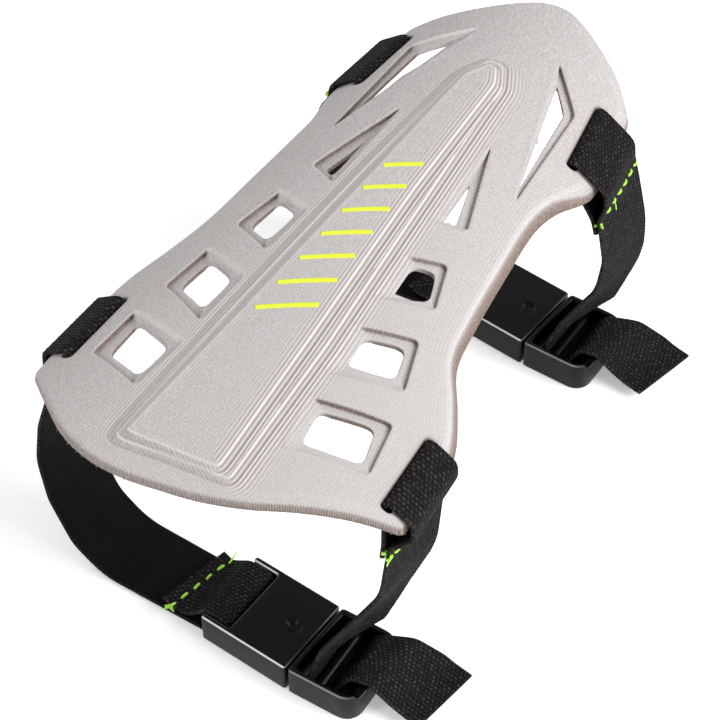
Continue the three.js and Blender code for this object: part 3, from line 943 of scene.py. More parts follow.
def webbing_material():
    """Black yarn with painted highlights on the crests of the weave and painted shade in its valleys, and
    ticks along the edges.
    """
    material, tree, shader = base_material("webbing", Roughness=0.7, Specular_IOR_Level=0.06)
    along = attribute(tree, "along")
    across = attribute(tree, "across")
    place = node(tree, "ShaderNodeCombineXYZ", [("X", across), ("Y", along)]).outputs[0]
    yarn = noise(tree, place, 1.4, 3)
    lot = scaled(tree, yarn, 2.6, -0.8)
    # Painted light: the weave's valleys are painted dark as shade and its crests paler as a highlight
    valley_shade = mixed(tree, lot, linear(10, 9, 9), linear(18, 16, 16))
    crest_highlight = mixed(tree, lot, linear(34, 32, 32), linear(90, 85, 84))
    black = mixed(tree, maths(tree, "POWER", attribute(tree, "weave"), 1.5), valley_shade, crest_highlight)
    tick = maths(tree, "MULTIPLY", sine(tree, along, SELVEDGE_PITCH), lot)
    edge = maths(tree, "MULTIPLY", attribute(tree, "selvedge"), tick)
    paint(tree, shader, mixed(tree, edge, black, linear(96, 88, 84)))
    emboss(tree, shader, yarn, 0.4, 0.1)
    return material


def plastic_material():
    """Black plastic with pale, smoother edges: a little wear on every edge and a painted highlight on the
    edges facing the front.
    """
    gloss = 0.34
    material, tree, shader = base_material("buckle_plastic", Roughness=gloss, Specular_IOR_Level=0.17)
    place = object_place(tree)
    edge = attribute(tree, "edge")
    black = mixed(tree, noise(tree, place, 120, 3), linear(6, 6, 6), linear(12, 11, 11))
    # Pale edge colour: a little wear on every edge and a painted highlight on the edges that face the front
    paint(tree, shader, mixed(tree, edge, black, linear(214, 208, 210)))
    tree.links.new(scaled(tree, edge, -0.18, gloss), shader.inputs["Roughness"])
    emboss(tree, shader, noise(tree, place, 2600, 2), 0.12, 0.05)
    return material


def speckled(name, roughness, scale, detail, first, second):
    """Material of two colours in fine specks."""
    material, tree, shader = base_material(name, Roughness=roughness)
    share = noise(tree, object_place(tree), scale, detail)
    paint(tree, shader, mixed(tree, share, linear(*first), linear(*second)))
    return material, tree, shader


def print_material():
    material, tree, shader = speckled("print", 0.55, 700, 3, (206, 224, 30), (228, 240, 62))
    emboss(tree, shader, bands(tree, object_place(tree), TWILL_ANGLE, TWILL_PERIOD), 0.4, 0.1)
    return material


def fibre_material():
    return speckled("fibre", 0.9, 500, 1, (150, 122, 112), (224, 214, 208))[0]


def thread_material():
    return speckled("thread", 0.55, 900, 2, (96, 188, 30), (206, 255, 96))[0]


def shell_outline():
    share = np.linspace(-1, 1, 120)
    along = np.linspace(0, 1, 300)
    left_y = elbow_end(-1) + (wrist_end(-1) - elbow_end(-1)) * along
    right_y = elbow_end(1) + (wrist_end(1) - elbow_end(1)) * along
    left_x = left_side(left_y)
    right_x = right_side(right_y)

    def across(start, end):
        return start + (end - start) * (share + 1) / 2

    elbow = np.column_stack([across(left_x[0], right_x[0]), elbow_end(share)])
    wrist = np.column_stack([across(left_x[-1], right_x[-1]), wrist_end(share)])
    right = np.column_stack([right_x, right_y])
    left = np.column_stack([left_x, left_y])
    line = np.vstack([elbow[:-1], right[:-1], wrist[::-1][:-1], left[::-1][:-1]])
    drawn = resampled(line, DRAWN_SPACING, True)
    return resampled(softened(drawn, OUTLINE_SOFTNESS), OUTLINE_SPACING, True)


def panel_loop(rows):
    right = [(row[2], row[0]) for row in rows]
    left = [(row[1], row[0]) for row in reversed(rows)]
    drawn = resampled(right + left, DRAWN_SPACING, True)
    return resampled(softened(drawn, PANEL_SOFTNESS), PANEL_SPACING, True)


panel_loops = [panel_loop(rows) for _, rows in PANEL_STEPS]


def panel_depths(points):
    """For each panel step, the distance of plan points inside it, below 0 outside, and the way it faces."""
    depths = []
    for loop in panel_loops:
        depth, place = nearest(points, loop)
        depth[~inside(points, loop)] *= -1
        depths.append((depth, loop_normals(loop)[place]))
    return depths


def ramp_width(facing):
    """Width of a panel step's slope, wider where it faces left."""
    return PANEL_RAMP + (LEFT_RAMP - PANEL_RAMP) * np.clip(-facing[:, 0], 0, 1)


def fold_pitch(facing):
    return np.where(facing[:, 0] > 0, RIGHT_FOLD_PITCH, LEFT_FOLD_PITCH)


def panel_rise(x, y):
    """Height of the raised panel over the shell's surface: two soft steps, each with a rounded lip."""
    x, y = np.ravel(x), np.ravel(y)
    rise = np.zeros(len(x))
    wander = sum(size * np.sin(rate * y + start) for size, rate, start in RIPPLE_WANDER)
    for (step, _), (depth, facing) in zip(PANEL_STEPS, panel_depths(np.column_stack([x, y]))):
        ramp = ramp_width(facing)
        t = np.clip(depth / ramp, 0, 1)
        lip = PANEL_LIP * bell(depth, ramp, LIP_WIDTH)
        foot = PANEL_LIP * bell(depth, *FOOT_BAND)
        rise += step * t * t * (3 - 2 * t) + lip - foot
        ripple = np.where(facing[:, 0] > 0, 1, LEFT_RIPPLE) * np.abs(facing[:, 0]) ** 4
        ripple *= bell(depth, *RIPPLE_BAND, power=4)
        rise += PANEL_RIPPLE * ripple * np.sin(2 * math.pi * depth / fold_pitch(facing) + wander)
    return rise


def top_height(x, y):
    return surface_height(x, y) + panel_rise(x, y)


def bottom_height(x, y):
    return surface_height(x, y) - SHELL_THICKNESS


def ring(plan, drop):
    return np.column_stack([plan, surface_height(plan[:, 0], plan[:, 1]) - drop])


def edge_stack(loop, profile, slope=0):
    """Rings of an edge, its top set back by slope (one number, or one for each point of the loop)."""
    normals = loop_normals(loop)
    rings = []
    for distance, drop, _ in profile:
        out = np.broadcast_to(distance - slope * (1 - drop / SHELL_THICKNESS), len(loop))
        rings.append(ring(loop + normals * out[:, None], drop))
    return rings, [cut for _, _, cut in profile]


def window_stack(hole_corners, recess_corners, steep_way):
    """Rings of a window, steep where the wall stands out towards steep_way and gentle elsewhere."""
    recess = rounded_loop(recess_corners, WINDOW_CORNER, LOOP_SPACING)
    corner = HOLE_CORNER if len(hole_corners) > 3 else TIP_CORNER
    hole = rounded_loop(hole_corners, corner, LOOP_SPACING, recess_corners)
    towards = hole - recess
    towards /= np.linalg.norm(towards, axis=1, keepdims=True)
    outward = loop_normals(recess)
    steep = np.clip(STEEP_GAIN * (outward @ np.array(steep_way)) - STEEP_START, 0, 1)
    places = {
        "lip": (recess, outward),
        "recess": (recess, towards),
        "hole": (hole, -towards),
        "foot": (hole, loop_normals(hole)),
    }
    rings, marks = [], []
    for place, near, far, drop, gentle_drop, cut in WINDOW_PROFILE:
        loop, way = places[place]
        distance = near * steep + far * (1 - steep)
        rings.append(ring(loop + way * distance[:, None], drop * steep + gentle_drop * (1 - steep)))
        marks.append(cut * (GENTLE_CUT + (1 - GENTLE_CUT) * steep))
    return rings, marks


def slot_place(strap, side):
    """A slot's distance from the middle, and its y."""
    end = "left" if side < 0 else "right"
    return strap[f"slot_{end}"], strap[f"y_{end}"]


def slot_loop(strap, side):
    middle = slot_place(strap, side)
    corners = []
    for across, along in ((-1, -1), (1, -1), (1, 1), (-1, 1)):
        x, y = across * SLOT_WIDTH / 2, along * SLOT_LENGTH / 2
        corners.append(rotated(middle, x, y, strap["slot_yaw"]))
    return rounded_loop(mirrored(corners, side), SLOT_CORNER, LOOP_SPACING)


def shell_stacks(outline):
    """Rings of the rim, and of every window and slot."""
    right = np.clip(loop_normals(outline)[:, 0], 0, 1)
    low, high = RIM_SLOPE_SPAN
    waist = between(outline[:, 1], low, low + RIM_SLOPE_FADE)
    waist *= between(outline[:, 1], high, high - RIM_SLOPE_FADE)
    rings, cuts = edge_stack(outline, RIM_PROFILE, RIM_SLOPE * right * waist)
    stacks = [(rings, [np.clip(cut * (1 + RIGHT_CUT * right), 0, 1) for cut in cuts])]
    for side, windows, steep in ((1, RIGHT_WINDOWS, RIGHT_STEEP), (-1, LEFT_WINDOWS, LEFT_STEEP)):
        for hole, recess in windows:
            stacks.append(window_stack(mirrored(hole, side), mirrored(recess, side), steep))
        for strap in STRAPS.values():
            stacks.append(edge_stack(slot_loop(strap, side), SLOT_PROFILE))
    return stacks


def knit_marks(vertices, outline):
    """What the knit shows at each vertex: its folds, its painted highlights and shade, and its twill."""
    plan = vertices[:, :2]
    reach = np.full(len(plan), np.inf)
    fold = np.zeros(len(plan))
    sideways = np.zeros(len(plan))
    painted_light_and_shade = np.zeros(len(plan))
    for depth, normals in panel_depths(plan):
        facing = normals[:, 0]
        closer = np.abs(depth) < reach
        reach[closer] = np.abs(depth)[closer]
        fold[closer] = (depth / fold_pitch(normals))[closer]
        sideways[closer] = (np.abs(facing) ** 4 * np.where(facing > 0, 1, LEFT_FOLDS))[closer]
        # Painted highlight on each step's crest and painted shade at its foot
        crest_highlight = LEFT_CREST_HIGHLIGHT + (RIGHT_CREST_HIGHLIGHT - LEFT_CREST_HIGHLIGHT) * np.clip(facing, 0, 1)
        shade = FOOT_SHADE + (1 - FOOT_SHADE) * facing
        painted_light_and_shade += crest_highlight * bell(depth, ramp_width(normals), CREST_WIDTH) - shade * bell(depth, *SHADE_BAND)
    # Painted highlight along the far-side lips of the left windows
    for _, corners in LEFT_WINDOWS:
        recess = rounded_loop(mirrored(corners, -1), WINDOW_CORNER, LOOP_SPACING)
        away, place = nearest(plan, recess)
        far_side = between(loop_normals(recess)[place][:, 1], 0.5, 1)
        painted_light_and_shade += WINDOW_LIP_HIGHLIGHT * far_side * bell(away, *WINDOW_LIP_BAND)
    edge, place = nearest(plan, outline)
    # Painted highlight in a band just inside the right rim's top edge
    right = np.clip(loop_normals(outline)[place][:, 0], 0, 1) ** 2
    painted_light_and_shade += RIM_HIGHLIGHT * right * bell(edge, *RIM_HIGHLIGHT_BAND)
    wale = STEP_FOLDS * sideways * bell(reach, 0, FOLD_REACH)
    rim_wale = RIM_FOLDS * right * bell(edge, *RIM_FOLD_BAND)
    fold = np.where(rim_wale > wale, edge / RIM_FOLD_PITCH, fold)
    wale = np.maximum(wale, rim_wale)
    wale *= vertices[:, 2] > bottom_height(plan[:, 0], plan[:, 1]) + FOLD_FLOOR
    twill = 1 - TWILL_FADE * between(plan[:, 1], *TWILL_FADE_SPAN)
    twill *= TWILL_LEFT + (1 - TWILL_LEFT) * between(plan[:, 0], *TWILL_LEFT_SPAN)
    return {"wale": wale, "fold": fold, "painted_light_and_shade": painted_light_and_shade, "twill": twill}


def build_shell(material):
    outline = shell_outline()
    low, high = outline.min(axis=0), outline.max(axis=0)
    steps = []
    for loop in panel_loops:
        normals = loop_normals(loop)
        steps += [loop - normals * depth for depth in np.arange(*STEP_ROWS)]
    steps = np.vstack(steps)
    grid = hex_points(low, high, TOP_SPACING)
    top = np.vstack([steps, grid[distance_to(grid, steps) > POINT_CLEARANCE]])
    bottom = hex_points(low, high, BOTTOM_SPACING)
    stacks = shell_stacks(outline)
    vertices, faces, cut, run = plate(stacks, top, bottom, top_height, bottom_height, POINT_CLEARANCE)
    marks = {"cut": cut, "run": run, **knit_marks(vertices, outline)}
    shell = add_piece("shell", vertices, faces, material, marks)
    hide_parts("guard_shell")


def build_print(material):
    """Thin film bars that follow the panel."""
    centre = table_curve([(y, (left + right) / 2) for y, left, right in PANEL_STEPS[1][1]], 1)
    parts = []
    for y, length in PRINT_BARS:
        along = np.linspace(-length / 2, length / 2, int(length / PRINT_SPACING))
        across = np.linspace(-PRINT_WIDTH / 2, PRINT_WIDTH / 2, 5)
        a, b = np.meshgrid(along, across, indexing="ij")
        spot_x, spot_y = rotated((centre(y), y), a, b, PRINT_SLANT)
        height = top_height(spot_x.ravel(), spot_y.ravel()).reshape(a.shape)
        film = []
        for lift in (PRINT_FILM, -PRINT_FILM):
            film.append(np.stack([spot_x, spot_y, height + lift], axis=2).reshape(-1, 3))
        rows, columns = a.shape
        index = np.arange(rows * columns).reshape(rows, columns)
        grid = np.stack([index[:-1, :-1], index[1:, :-1], index[1:, 1:], index[:-1, 1:]], axis=2)
        grid = grid.reshape(-1, 4)
        rim = np.concatenate([index[:, 0], index[-1, 1:], index[-2::-1, -1], index[0, -2:0:-1]])
        ahead = np.roll(rim, -1)
        below = rows * columns
        walls = np.stack([rim, ahead, ahead + below, rim + below], axis=1)
        faces = np.concatenate([grid, grid[:, ::-1] + below, walls[:, ::-1]])
        parts.append((np.vstack(film), faces.tolist()))
    vertices, faces = joined(parts)
    add_piece("panel_print", vertices, faces, material)


def build_fibres(material):
    """Loose ends of the foam's knit cover along the rim of the elbow end."""
    outline = shell_outline()
    normals = loop_normals(outline)
    ends = np.where((outline[:, 1] < FIBRE_NEAR) & (outline[:, 0] > FIBRE_LEFT))[0]
    thickness = FIBRE_RADIUS * np.array(FIBRE_TAPER)
    parts = []
    for _ in range(FIBRES):
        i = rng.choice(ends)
        t = rng.uniform()
        spot = outline[i] * (1 - t) + outline[(i + 1) % len(outline)] * t
        drop = rng.uniform(*FIBRE_DROP)
        start = np.array([*(spot + normals[i] * FIBRE_STAND), surface_height(*spot) - drop])
        lean = np.array([*(normals[i] * rng.uniform(*FIBRE_OUT)), -rng.uniform(*FIBRE_DOWN)])
        lean[:2] += rng.normal(0, FIBRE_STRAY, 2)
        lean /= np.linalg.norm(lean)
        reach = rng.uniform(*FIBRE_LENGTH)
        sag = np.array([0, 0, -FIBRE_SAG * reach])
        points = [start + lean * reach * s + sag * s * s for s in (0, 0.5, 1)]
        parts.append(tube(points, thickness, 4))
    vertices, faces = joined(parts)
    add_piece("rim_fibres", vertices, faces, material)


def bent_path(rows):
    """Points of a path through rows of x, y, z, bend, width, yaw, pitch, with each turn rounded."""
    rows = np.array(rows, float)
    places = rows[:, :3]
    rest = rows[:, 4:]
    samples = []
    for i, row in enumerate(rows):
        if i in (0, len(rows) - 1) or row[3] == 0:
            samples.append(np.concatenate([places[i], rest[i]]))
            continue
        back = places[i - 1] - places[i]
        ahead = places[i + 1] - places[i]
        cosine = back @ ahead / np.linalg.norm(back) / np.linalg.norm(ahead)
        turn = math.pi - math.acos(np.clip(cosine, -1, 1))
        reach = row[3] * math.tan(turn / 2)
        back_share = min(reach / np.linalg.norm(back), TURN_SHARE)
        ahead_share = min(reach / np.linalg.norm(ahead), TURN_SHARE)
        start = places[i] + back * back_share
        end = places[i] + ahead * ahead_share
        for t in np.linspace(0, 1, 13):
            point = start * (1 - t) ** 2 + places[i] * 2 * t * (1 - t) + end * t**2
            at = -back_share + (ahead_share + back_share) * t
            other = rest[i + 1] if at > 0 else rest[i - 1]
            samples.append(np.concatenate([point, rest[i] + (other - rest[i]) * abs(at)]))
    return np.array(samples)


def blurred(columns, reach):
    """Columns of evenly spaced samples, smoothed along their length."""
    width = int(3 * reach) + 1
    kernel = np.exp(-0.5 * (np.arange(-width, width + 1) / reach) ** 2)
    kernel /= kernel.sum()
    before = 2 * columns[:1] - columns[width:0:-1]
    after = 2 * columns[-1:] - columns[-2 : -width - 2 : -1]
    longer = np.vstack([before, columns, after])
    return np.stack([np.convolve(column, kernel, "valid") for column in longer.T], axis=1)


def ring_sides(rows, count):
    """Numbers of the points in stacked rings, and the faces between the rings."""
    index = np.arange(rows * count).reshape(rows, count)
    nearby = np.roll(index, -1, axis=1)
    faces = np.stack([index[:-1], nearby[:-1], nearby[1:], index[1:]], axis=2).reshape(-1, 4)
    return index, [tuple(face) for face in faces.tolist()]


class Ribbon:
    """Webbing along a path: its middle line, width, and the directions across it and out of its face."""

    def __init__(self, rows):
        path = bent_path(rows)
        steps = np.linalg.norm(np.diff(path[:, :3], axis=0), axis=1)
        length = np.concatenate([[0], np.cumsum(steps)])
        self.along = np.arange(0, length[-1], WEAVE_STEP)
        even = np.stack([np.interp(self.along, length, column) for column in path.T], axis=1)
        even = blurred(even, PATH_BLUR)
        self.middle = even[:, :3]
        self.width = even[:, 3]
        yaw = np.radians(even[:, 4])
        tangent = np.gradient(self.middle, axis=0)
        tangent /= np.linalg.norm(tangent, axis=1, keepdims=True)
        across = np.column_stack([-np.sin(yaw), np.cos(yaw), even[:, 5]])
        self.across = across / np.linalg.norm(across, axis=1, keepdims=True)
        normal = np.cross(tangent, self.across)
        self.normal = normal / np.linalg.norm(normal, axis=1, keepdims=True)
        self.tangent = tangent

    def at(self, index, share, lift):
        """Point of the face: share runs across from -1 to 1, lift out of the middle plane."""
        side = self.across[index] * self.width[index] / 2 * share
        return self.middle[index] + side + self.normal[index] * lift

    def face(self, side, columns, rib_height, link_height):
        """One face, with ribs of slanted links: its points, their shares across and their weave height."""
        flat = np.linspace(-1, 1, columns + 1)
        share = (1 - EDGE_CROWDING) * flat + EDGE_CROWDING * np.sin(flat * math.pi / 2)
        rim = WEBBING_WIDTH / 2
        depth = np.clip((np.abs(share) * rim - (rim - SELVEDGE)) / SELVEDGE, 0, 1)
        body = np.sqrt(np.clip(1 - depth**2, 0, 1))
        place = (share + 1) / 2 * RIBS
        column = np.floor(place)
        rib = np.abs(np.sin(place * math.pi))
        slant = LINK_SLANT * (place - column - 0.5)
        phase = self.along[:, None] / LINK_LENGTH + (0.5 * (column % 2) + slant)[None, :]
        link = 0.5 + 0.5 * np.sin(2 * math.pi * phase)
        lots = rng.uniform(*LINK_LOTS, (int(phase.max()) + 2, RIBS + 1))
        link *= lots[np.floor(phase + 0.25).astype(int), np.minimum(column, RIBS).astype(int)[None, :]]
        weave = rib_height * (rib - RIB_LEVEL)[None, :] + link_height * (link * rib[None, :] - LINK_LEVEL)
        height = side * body[None, :] * (WEBBING_THICKNESS / 2 - SKIN_INSET + weave)
        across = self.across[:, None, :] * (self.width[:, None, None] / 2 * share[None, :, None])
        points = self.middle[:, None, :] + across + self.normal[:, None, :] * height[:, :, None]
        return points, share, rib[None, :] * (LINK_FLOOR + (1 - LINK_FLOOR) * link)

    def mesh(self, outer):
        """Closed skin with ribs of links on the outer face and a smoother inner face."""
        front, front_share, front_weave = self.face(outer, OUTER_COLUMNS, RIB_HEIGHT, LINK_HEIGHT)
        back, back_share, back_weave = self.face(-outer, INNER_COLUMNS, 0, INNER_LINK_HEIGHT)
        around = np.concatenate([front, back[:, -2:0:-1]], axis=1)
        shares = np.concatenate([front_share, back_share[-2:0:-1]])
        weave = np.concatenate([front_weave, INNER_WEAVE * back_weave[:, -2:0:-1]], axis=1)
        rows, count = around.shape[:2]
        index, faces = ring_sides(rows, count)
        faces += [tuple(index[0]), tuple(index[-1][::-1])]
        marks = {
            "along": np.repeat(self.along, count),
            "across": np.tile(shares * WEBBING_WIDTH / 2, rows),
            "selvedge": np.tile(between(np.abs(shares), *SELVEDGE_SPAN), rows),
            # The weave mark also sets the painted highlight and shade of the weave in the material
            "weave": weave.ravel(),
        }
        return around.reshape(-1, 3), faces, marks


def loop_rows(strap, side, seam):
    """Rows of the loop through a slot: up from the seam, round the outer strip, down again."""
    seam_x, seam_z, lean = seam
    slot_x, y = slot_place(strap, side)
    edge_x = float(-left_side(y) if side < 0 else right_side(y))
    bulge = strap["bulge_right"] if side > 0 else strap["bulge_left"]
    seam_turn = strap["seam_turn"] if side > 0 else 0
    stand = CLEARANCE + WEBBING_THICKNESS / 2
    slope = (surface_height(slot_x, y) - surface_height(edge_x, y)) / (edge_x - slot_x)
    lift = stand * math.hypot(1, slope)
    slot_top = surface_height(slot_x, y) + lift
    edge_top = surface_height(edge_x, y) + lift - slope * stand
    dy = SLOT_LENGTH / 2
    dx = dy * math.tan(math.radians(strap["slot_yaw"]))
    rise = surface_height(slot_x - dx, y + dy) - surface_height(slot_x + dx, y - dy)
    pitch = rise / SLOT_LENGTH
    foot = seam_z - SEAM_BELOW
    # Columns: x, z, bend, tilt
    loop = [
        (seam_x + lean - SEAM_PLY_OFFSET, foot, 0, 0),
        (seam_x - SEAM_PLY_OFFSET, seam_z, 5, 0),
        (slot_x - SLOT_PULL, slot_top - SHELL_THICKNESS - 2 * stand, 4, 0),
        (slot_x - SLOT_PULL, slot_top + SLOT_RISE, SLOT_BEND, pitch),
        (edge_x + stand + bulge, edge_top - 0.5 * bulge, SLOT_BEND + 1.5 * bulge, pitch),
        (edge_x + stand + CLEARANCE + bulge, edge_top - OUTER_DROP, 5, 0),
        (seam_x + SEAM_PLY_OFFSET, seam_z, 5, 0),
        (seam_x + lean + SEAM_PLY_OFFSET, foot, 8, 0),
    ]
    turned = side * strap["slot_yaw"]
    return [
        (side * x, y, z, bend, WEBBING_WIDTH, turned if z >= seam_z + SEAM_ABOVE else seam_turn, tilt)
        for x, z, bend, tilt in loop
    ]


def joint_slope(strap):
    """Lean of the joint's line in the adjuster's own frame."""
    return math.tan(math.radians(strap["adjuster_yaw"] - strap["socket_yaw"]))


def adjuster_offset(strap):
    return BUCKLE_HALF_WIDTH * joint_slope(strap)


def buckle_rows(strap, yaw, offset, rows, last_yaw):
    """Rows in the frame of a buckle half as part rows. Past the buckle the webbing turns to last_yaw."""
    made = []
    for x, z, shift, bend, width in rows:
        row_yaw = yaw if FLAP_BEND < x < ADJUSTER_END else last_yaw
        made.append((*rotated(strap["buckle"], x + offset, shift, yaw), z, bend, width, row_yaw, 0))
    return made


def leg_rows(rows):
    """Rows of a leg with no pitch."""
    return [(*row, 0) for row in rows]


def sewn_ribbon(strap):
    wrap = buckle_rows(strap, strap["socket_yaw"], 0, SOCKET_WRAP, strap["socket_yaw"] + FLAP_SKEW)
    return Ribbon(loop_rows(strap, -1, strap["sewn_seam"]) + leg_rows(strap["sewn_leg"]) + wrap)


def tail_ribbon(strap):
    yaw = strap["adjuster_yaw"]
    wrap = buckle_rows(strap, yaw, adjuster_offset(strap), ADJUSTER_WRAP, strap["tail_yaw"])
    return Ribbon(loop_rows(strap, 1, strap["tail_seam"]) + leg_rows(strap["tail_leg"]) + wrap)


def bevel_stack(loop, outward, height, bevel, highlight_and_wear=0):
    """Rings of an upright wall, chamfered above and rounded below: outward is 1, or -1 for a hole."""
    normals = loop_normals(loop) * outward
    # Painted highlight and wear: a small share on every edge, rising to full on the edges that face the
    # front
    painted_highlight_and_wear = highlight_and_wear * (ALL_EDGES_WEAR_AND_HIGHLIGHT + (1 - ALL_EDGES_WEAR_AND_HIGHLIGHT) * np.clip(-normals[:, 1], 0, 1) ** 6)
    # Columns: inset, z, share of the painted highlight and wear
    levels = [
        (BUCKLE_CHAMFER + CHAMFER_SOFT, height, 0),
        (BUCKLE_CHAMFER, height - CHAMFER_TURN, 1),
        (CHAMFER_TURN, height - BUCKLE_CHAMFER, 1),
        (0, height - BUCKLE_CHAMFER - CHAMFER_SOFT, 0),
    ]
    for angle in np.linspace(0, math.pi / 2, 6):
        levels.append((bevel * (1 - math.cos(angle)), bevel * (1 - math.sin(angle)), 0))
    rings = []
    for inset, z, _ in levels:
        plan = loop - normals * inset
        rings.append(np.column_stack([plan, np.full(len(plan), z)]))
    return rings, [share * painted_highlight_and_wear for _, _, share in levels]


def tube(points, radius, sides=12):
    """Closed round bar along points, with flat ends."""
    points = np.asarray(points, float)
    tangent = np.gradient(points, axis=0)
    tangent /= np.linalg.norm(tangent, axis=1, keepdims=True)
    helper = np.array([0, 0, 1.0]) if abs(tangent[0][2]) < 0.9 else np.array([1.0, 0, 0])
    first = np.cross(tangent, helper)
    first /= np.linalg.norm(first, axis=1, keepdims=True)
    second = np.cross(tangent, first)
    angle = np.linspace(0, 2 * math.pi, sides, endpoint=False)
    radius = np.broadcast_to(np.asarray(radius, float), len(points))
    round_x = np.cos(angle)[None, :, None] * first[:, None, :]
    round_y = np.sin(angle)[None, :, None] * second[:, None, :]
    rings = points[:, None, :] + (round_x + round_y) * radius[:, None, None]
    index, faces = ring_sides(len(points), sides)
    return rings.reshape(-1, 3), faces + [tuple(index[0][::-1]), tuple(index[-1])]


def joined(parts):
    """One vertex list and face list from several."""
    vertices, faces = [], []
    start = 0
    for points, polygons in parts:
        vertices.append(points)
        faces += [tuple(i + start for i in polygon) for polygon in polygons]
        start += len(points)
    return np.vstack(vertices), faces


def placed(points, strap, yaw, offset):
    """Points of a buckle half's own frame in the part's frame."""
    x, y = rotated(strap["buckle"], points[:, 0] + offset, points[:, 1], yaw)
    return np.column_stack([x, y, points[:, 2]])


def cross_bar(x, z):
    reach = BAY_HALF_WIDTH + SUNK_IN
    return tube([(x, y, z) for y in np.linspace(-reach, reach, 9)], BAR_RADIUS, 20)


def flat_bottom(x, y):
    return np.zeros(len(x))


def block(low, high):
    """Box between two corners."""
    places = [(low, high)[i][0] for i in (0, 1, 1, 0)]
    depths = [(low, high)[i][1] for i in (0, 0, 1, 1)]
    vertices = [(x, y, z) for z in (low[2], high[2]) for x, y in zip(places, depths)]
    faces = [(3, 2, 1, 0), (4, 5, 6, 7)]
    faces += [(i, (i + 1) % 4, (i + 1) % 4 + 4, i + 4) for i in range(4)]
    return np.array(vertices, float), faces


def with_plain_parts(vertices, faces, painted_highlight_and_wear, parts):
    """A buckle half's body and the parts in it that have no painted highlight or wear on their edges."""
    points, polygons = joined([(vertices, faces)] + parts)
    edge = np.concatenate([painted_highlight_and_wear, np.zeros(len(points) - len(painted_highlight_and_wear))])
    return points, polygons, {"edge": edge}


def socket_mesh():
    half = BUCKLE_HALF_WIDTH
    corners = [
        (-JOINT_GAP, -half),
        (-JOINT_GAP, half),
        (SOCKET_END, half),
        (SOCKET_END, BAY_HALF_WIDTH),
        (PLATE_START, BAY_HALF_WIDTH),
        (PLATE_START, -BAY_HALF_WIDTH),
        (SOCKET_END, -BAY_HALF_WIDTH),
        (SOCKET_END, -half),
    ]
    outline = rounded_loop(corners, SOCKET_CORNER, LOOP_SPACING)
    stack = bevel_stack(outline, 1, BUCKLE_HEIGHT, BUCKLE_BEVEL, 1)

    def top(x, y):
        gap = np.hypot(x - DIMPLE_X, y) / DIMPLE_RADIUS
        return BUCKLE_HEIGHT - DIMPLE_DEPTH * np.clip(1 - gap**2, 0, 1) ** 1.5

    ring_points = []
    for radius in np.linspace(*DIMPLE_RINGS) * DIMPLE_RADIUS:
        angle = np.linspace(0, 2 * math.pi, 28, endpoint=False)
        ring_points.append(np.column_stack([DIMPLE_X + radius * np.cos(angle), radius * np.sin(angle)]))
    ring_points = np.vstack(ring_points)
    grid = hex_points((SOCKET_END, -half), (0, half), SOCKET_SPACING)
    grid = grid[np.hypot(grid[:, 0] - DIMPLE_X, grid[:, 1]) > DIMPLE_CLEARANCE * DIMPLE_RADIUS]
    points = np.vstack([ring_points, grid])
    vertices, faces, painted_highlight_and_wear, _ = plate([stack], points, grid, top, flat_bottom, SOCKET_CLEARANCE)
    return with_plain_parts(vertices, faces, painted_highlight_and_wear, [cross_bar(*SOCKET_BAR)])


def adjuster_mesh(slope):
    half = BUCKLE_HALF_WIDTH
    corner = ADJUSTER_CORNER

    def arc(x, y, start):
        angles = np.radians(np.linspace(start, start + 90, 9))
        return [(x + corner * math.cos(a), y + corner * math.sin(a)) for a in angles]

    def leaning(x, y):
        return x - (half - y) * slope, y

    line = []
    for y in np.linspace(half, -half, 64):
        line.append(leaning(JOINT_GAP - JOINT_BOW * (1 - (y / half) ** 2), y))
    line += arc(ADJUSTER_END - corner, corner - half, -90)
    line += arc(ADJUSTER_END - corner, half - corner, 0)
    outline = softened(resampled(line, ADJUSTER_LINE_SPACING, True), ADJUSTER_SOFTNESS)
    corners = [
        leaning(BAY_START, -BAY_HALF_WIDTH),
        (BAY_END, -BAY_HALF_WIDTH),
        (BAY_END, BAY_HALF_WIDTH),
        leaning(BAY_START, BAY_HALF_WIDTH),
    ]
    bay = rounded_loop(corners, BAY_CORNER, BAY_LOOP_SPACING)
    stacks = [
        bevel_stack(outline, 1, BUCKLE_HEIGHT, BUCKLE_BEVEL, ADJUSTER_HIGHLIGHT_AND_WEAR),
        bevel_stack(bay, -1, BUCKLE_HEIGHT, BAY_BEVEL),
    ]
    grid = hex_points((-2, -half), (ADJUSTER_END, half), ADJUSTER_SPACING)

    def top(x, y):
        return np.full(len(x), float(BUCKLE_HEIGHT))

    vertices, faces, painted_highlight_and_wear, _ = plate(stacks, grid, grid, top, flat_bottom, ADJUSTER_CLEARANCE)
    sunk = between(vertices[:, 0], *NOTCH_SPAN)
    notch_end = np.where(vertices[:, 1] > 0, NOTCH_FAR, NOTCH_NEAR)
    sunk *= between(np.abs(vertices[:, 1]), notch_end, notch_end - NOTCH_SLOPE)
    vertices[:, 2] *= 1 - TAIL_NOTCH * sunk
    reach = BAY_HALF_WIDTH + SUNK_IN
    # A black plate closes the bottom of the bay so that the bay looks dark from above
    floor = block((BAY_START - SUNK_IN, -reach, 0.05), (BAY_END + SUNK_IN, reach, BAY_PLATE_TOP))
    return with_plain_parts(vertices, faces, painted_highlight_and_wear, [cross_bar(*ADJUSTER_BAR), floor])


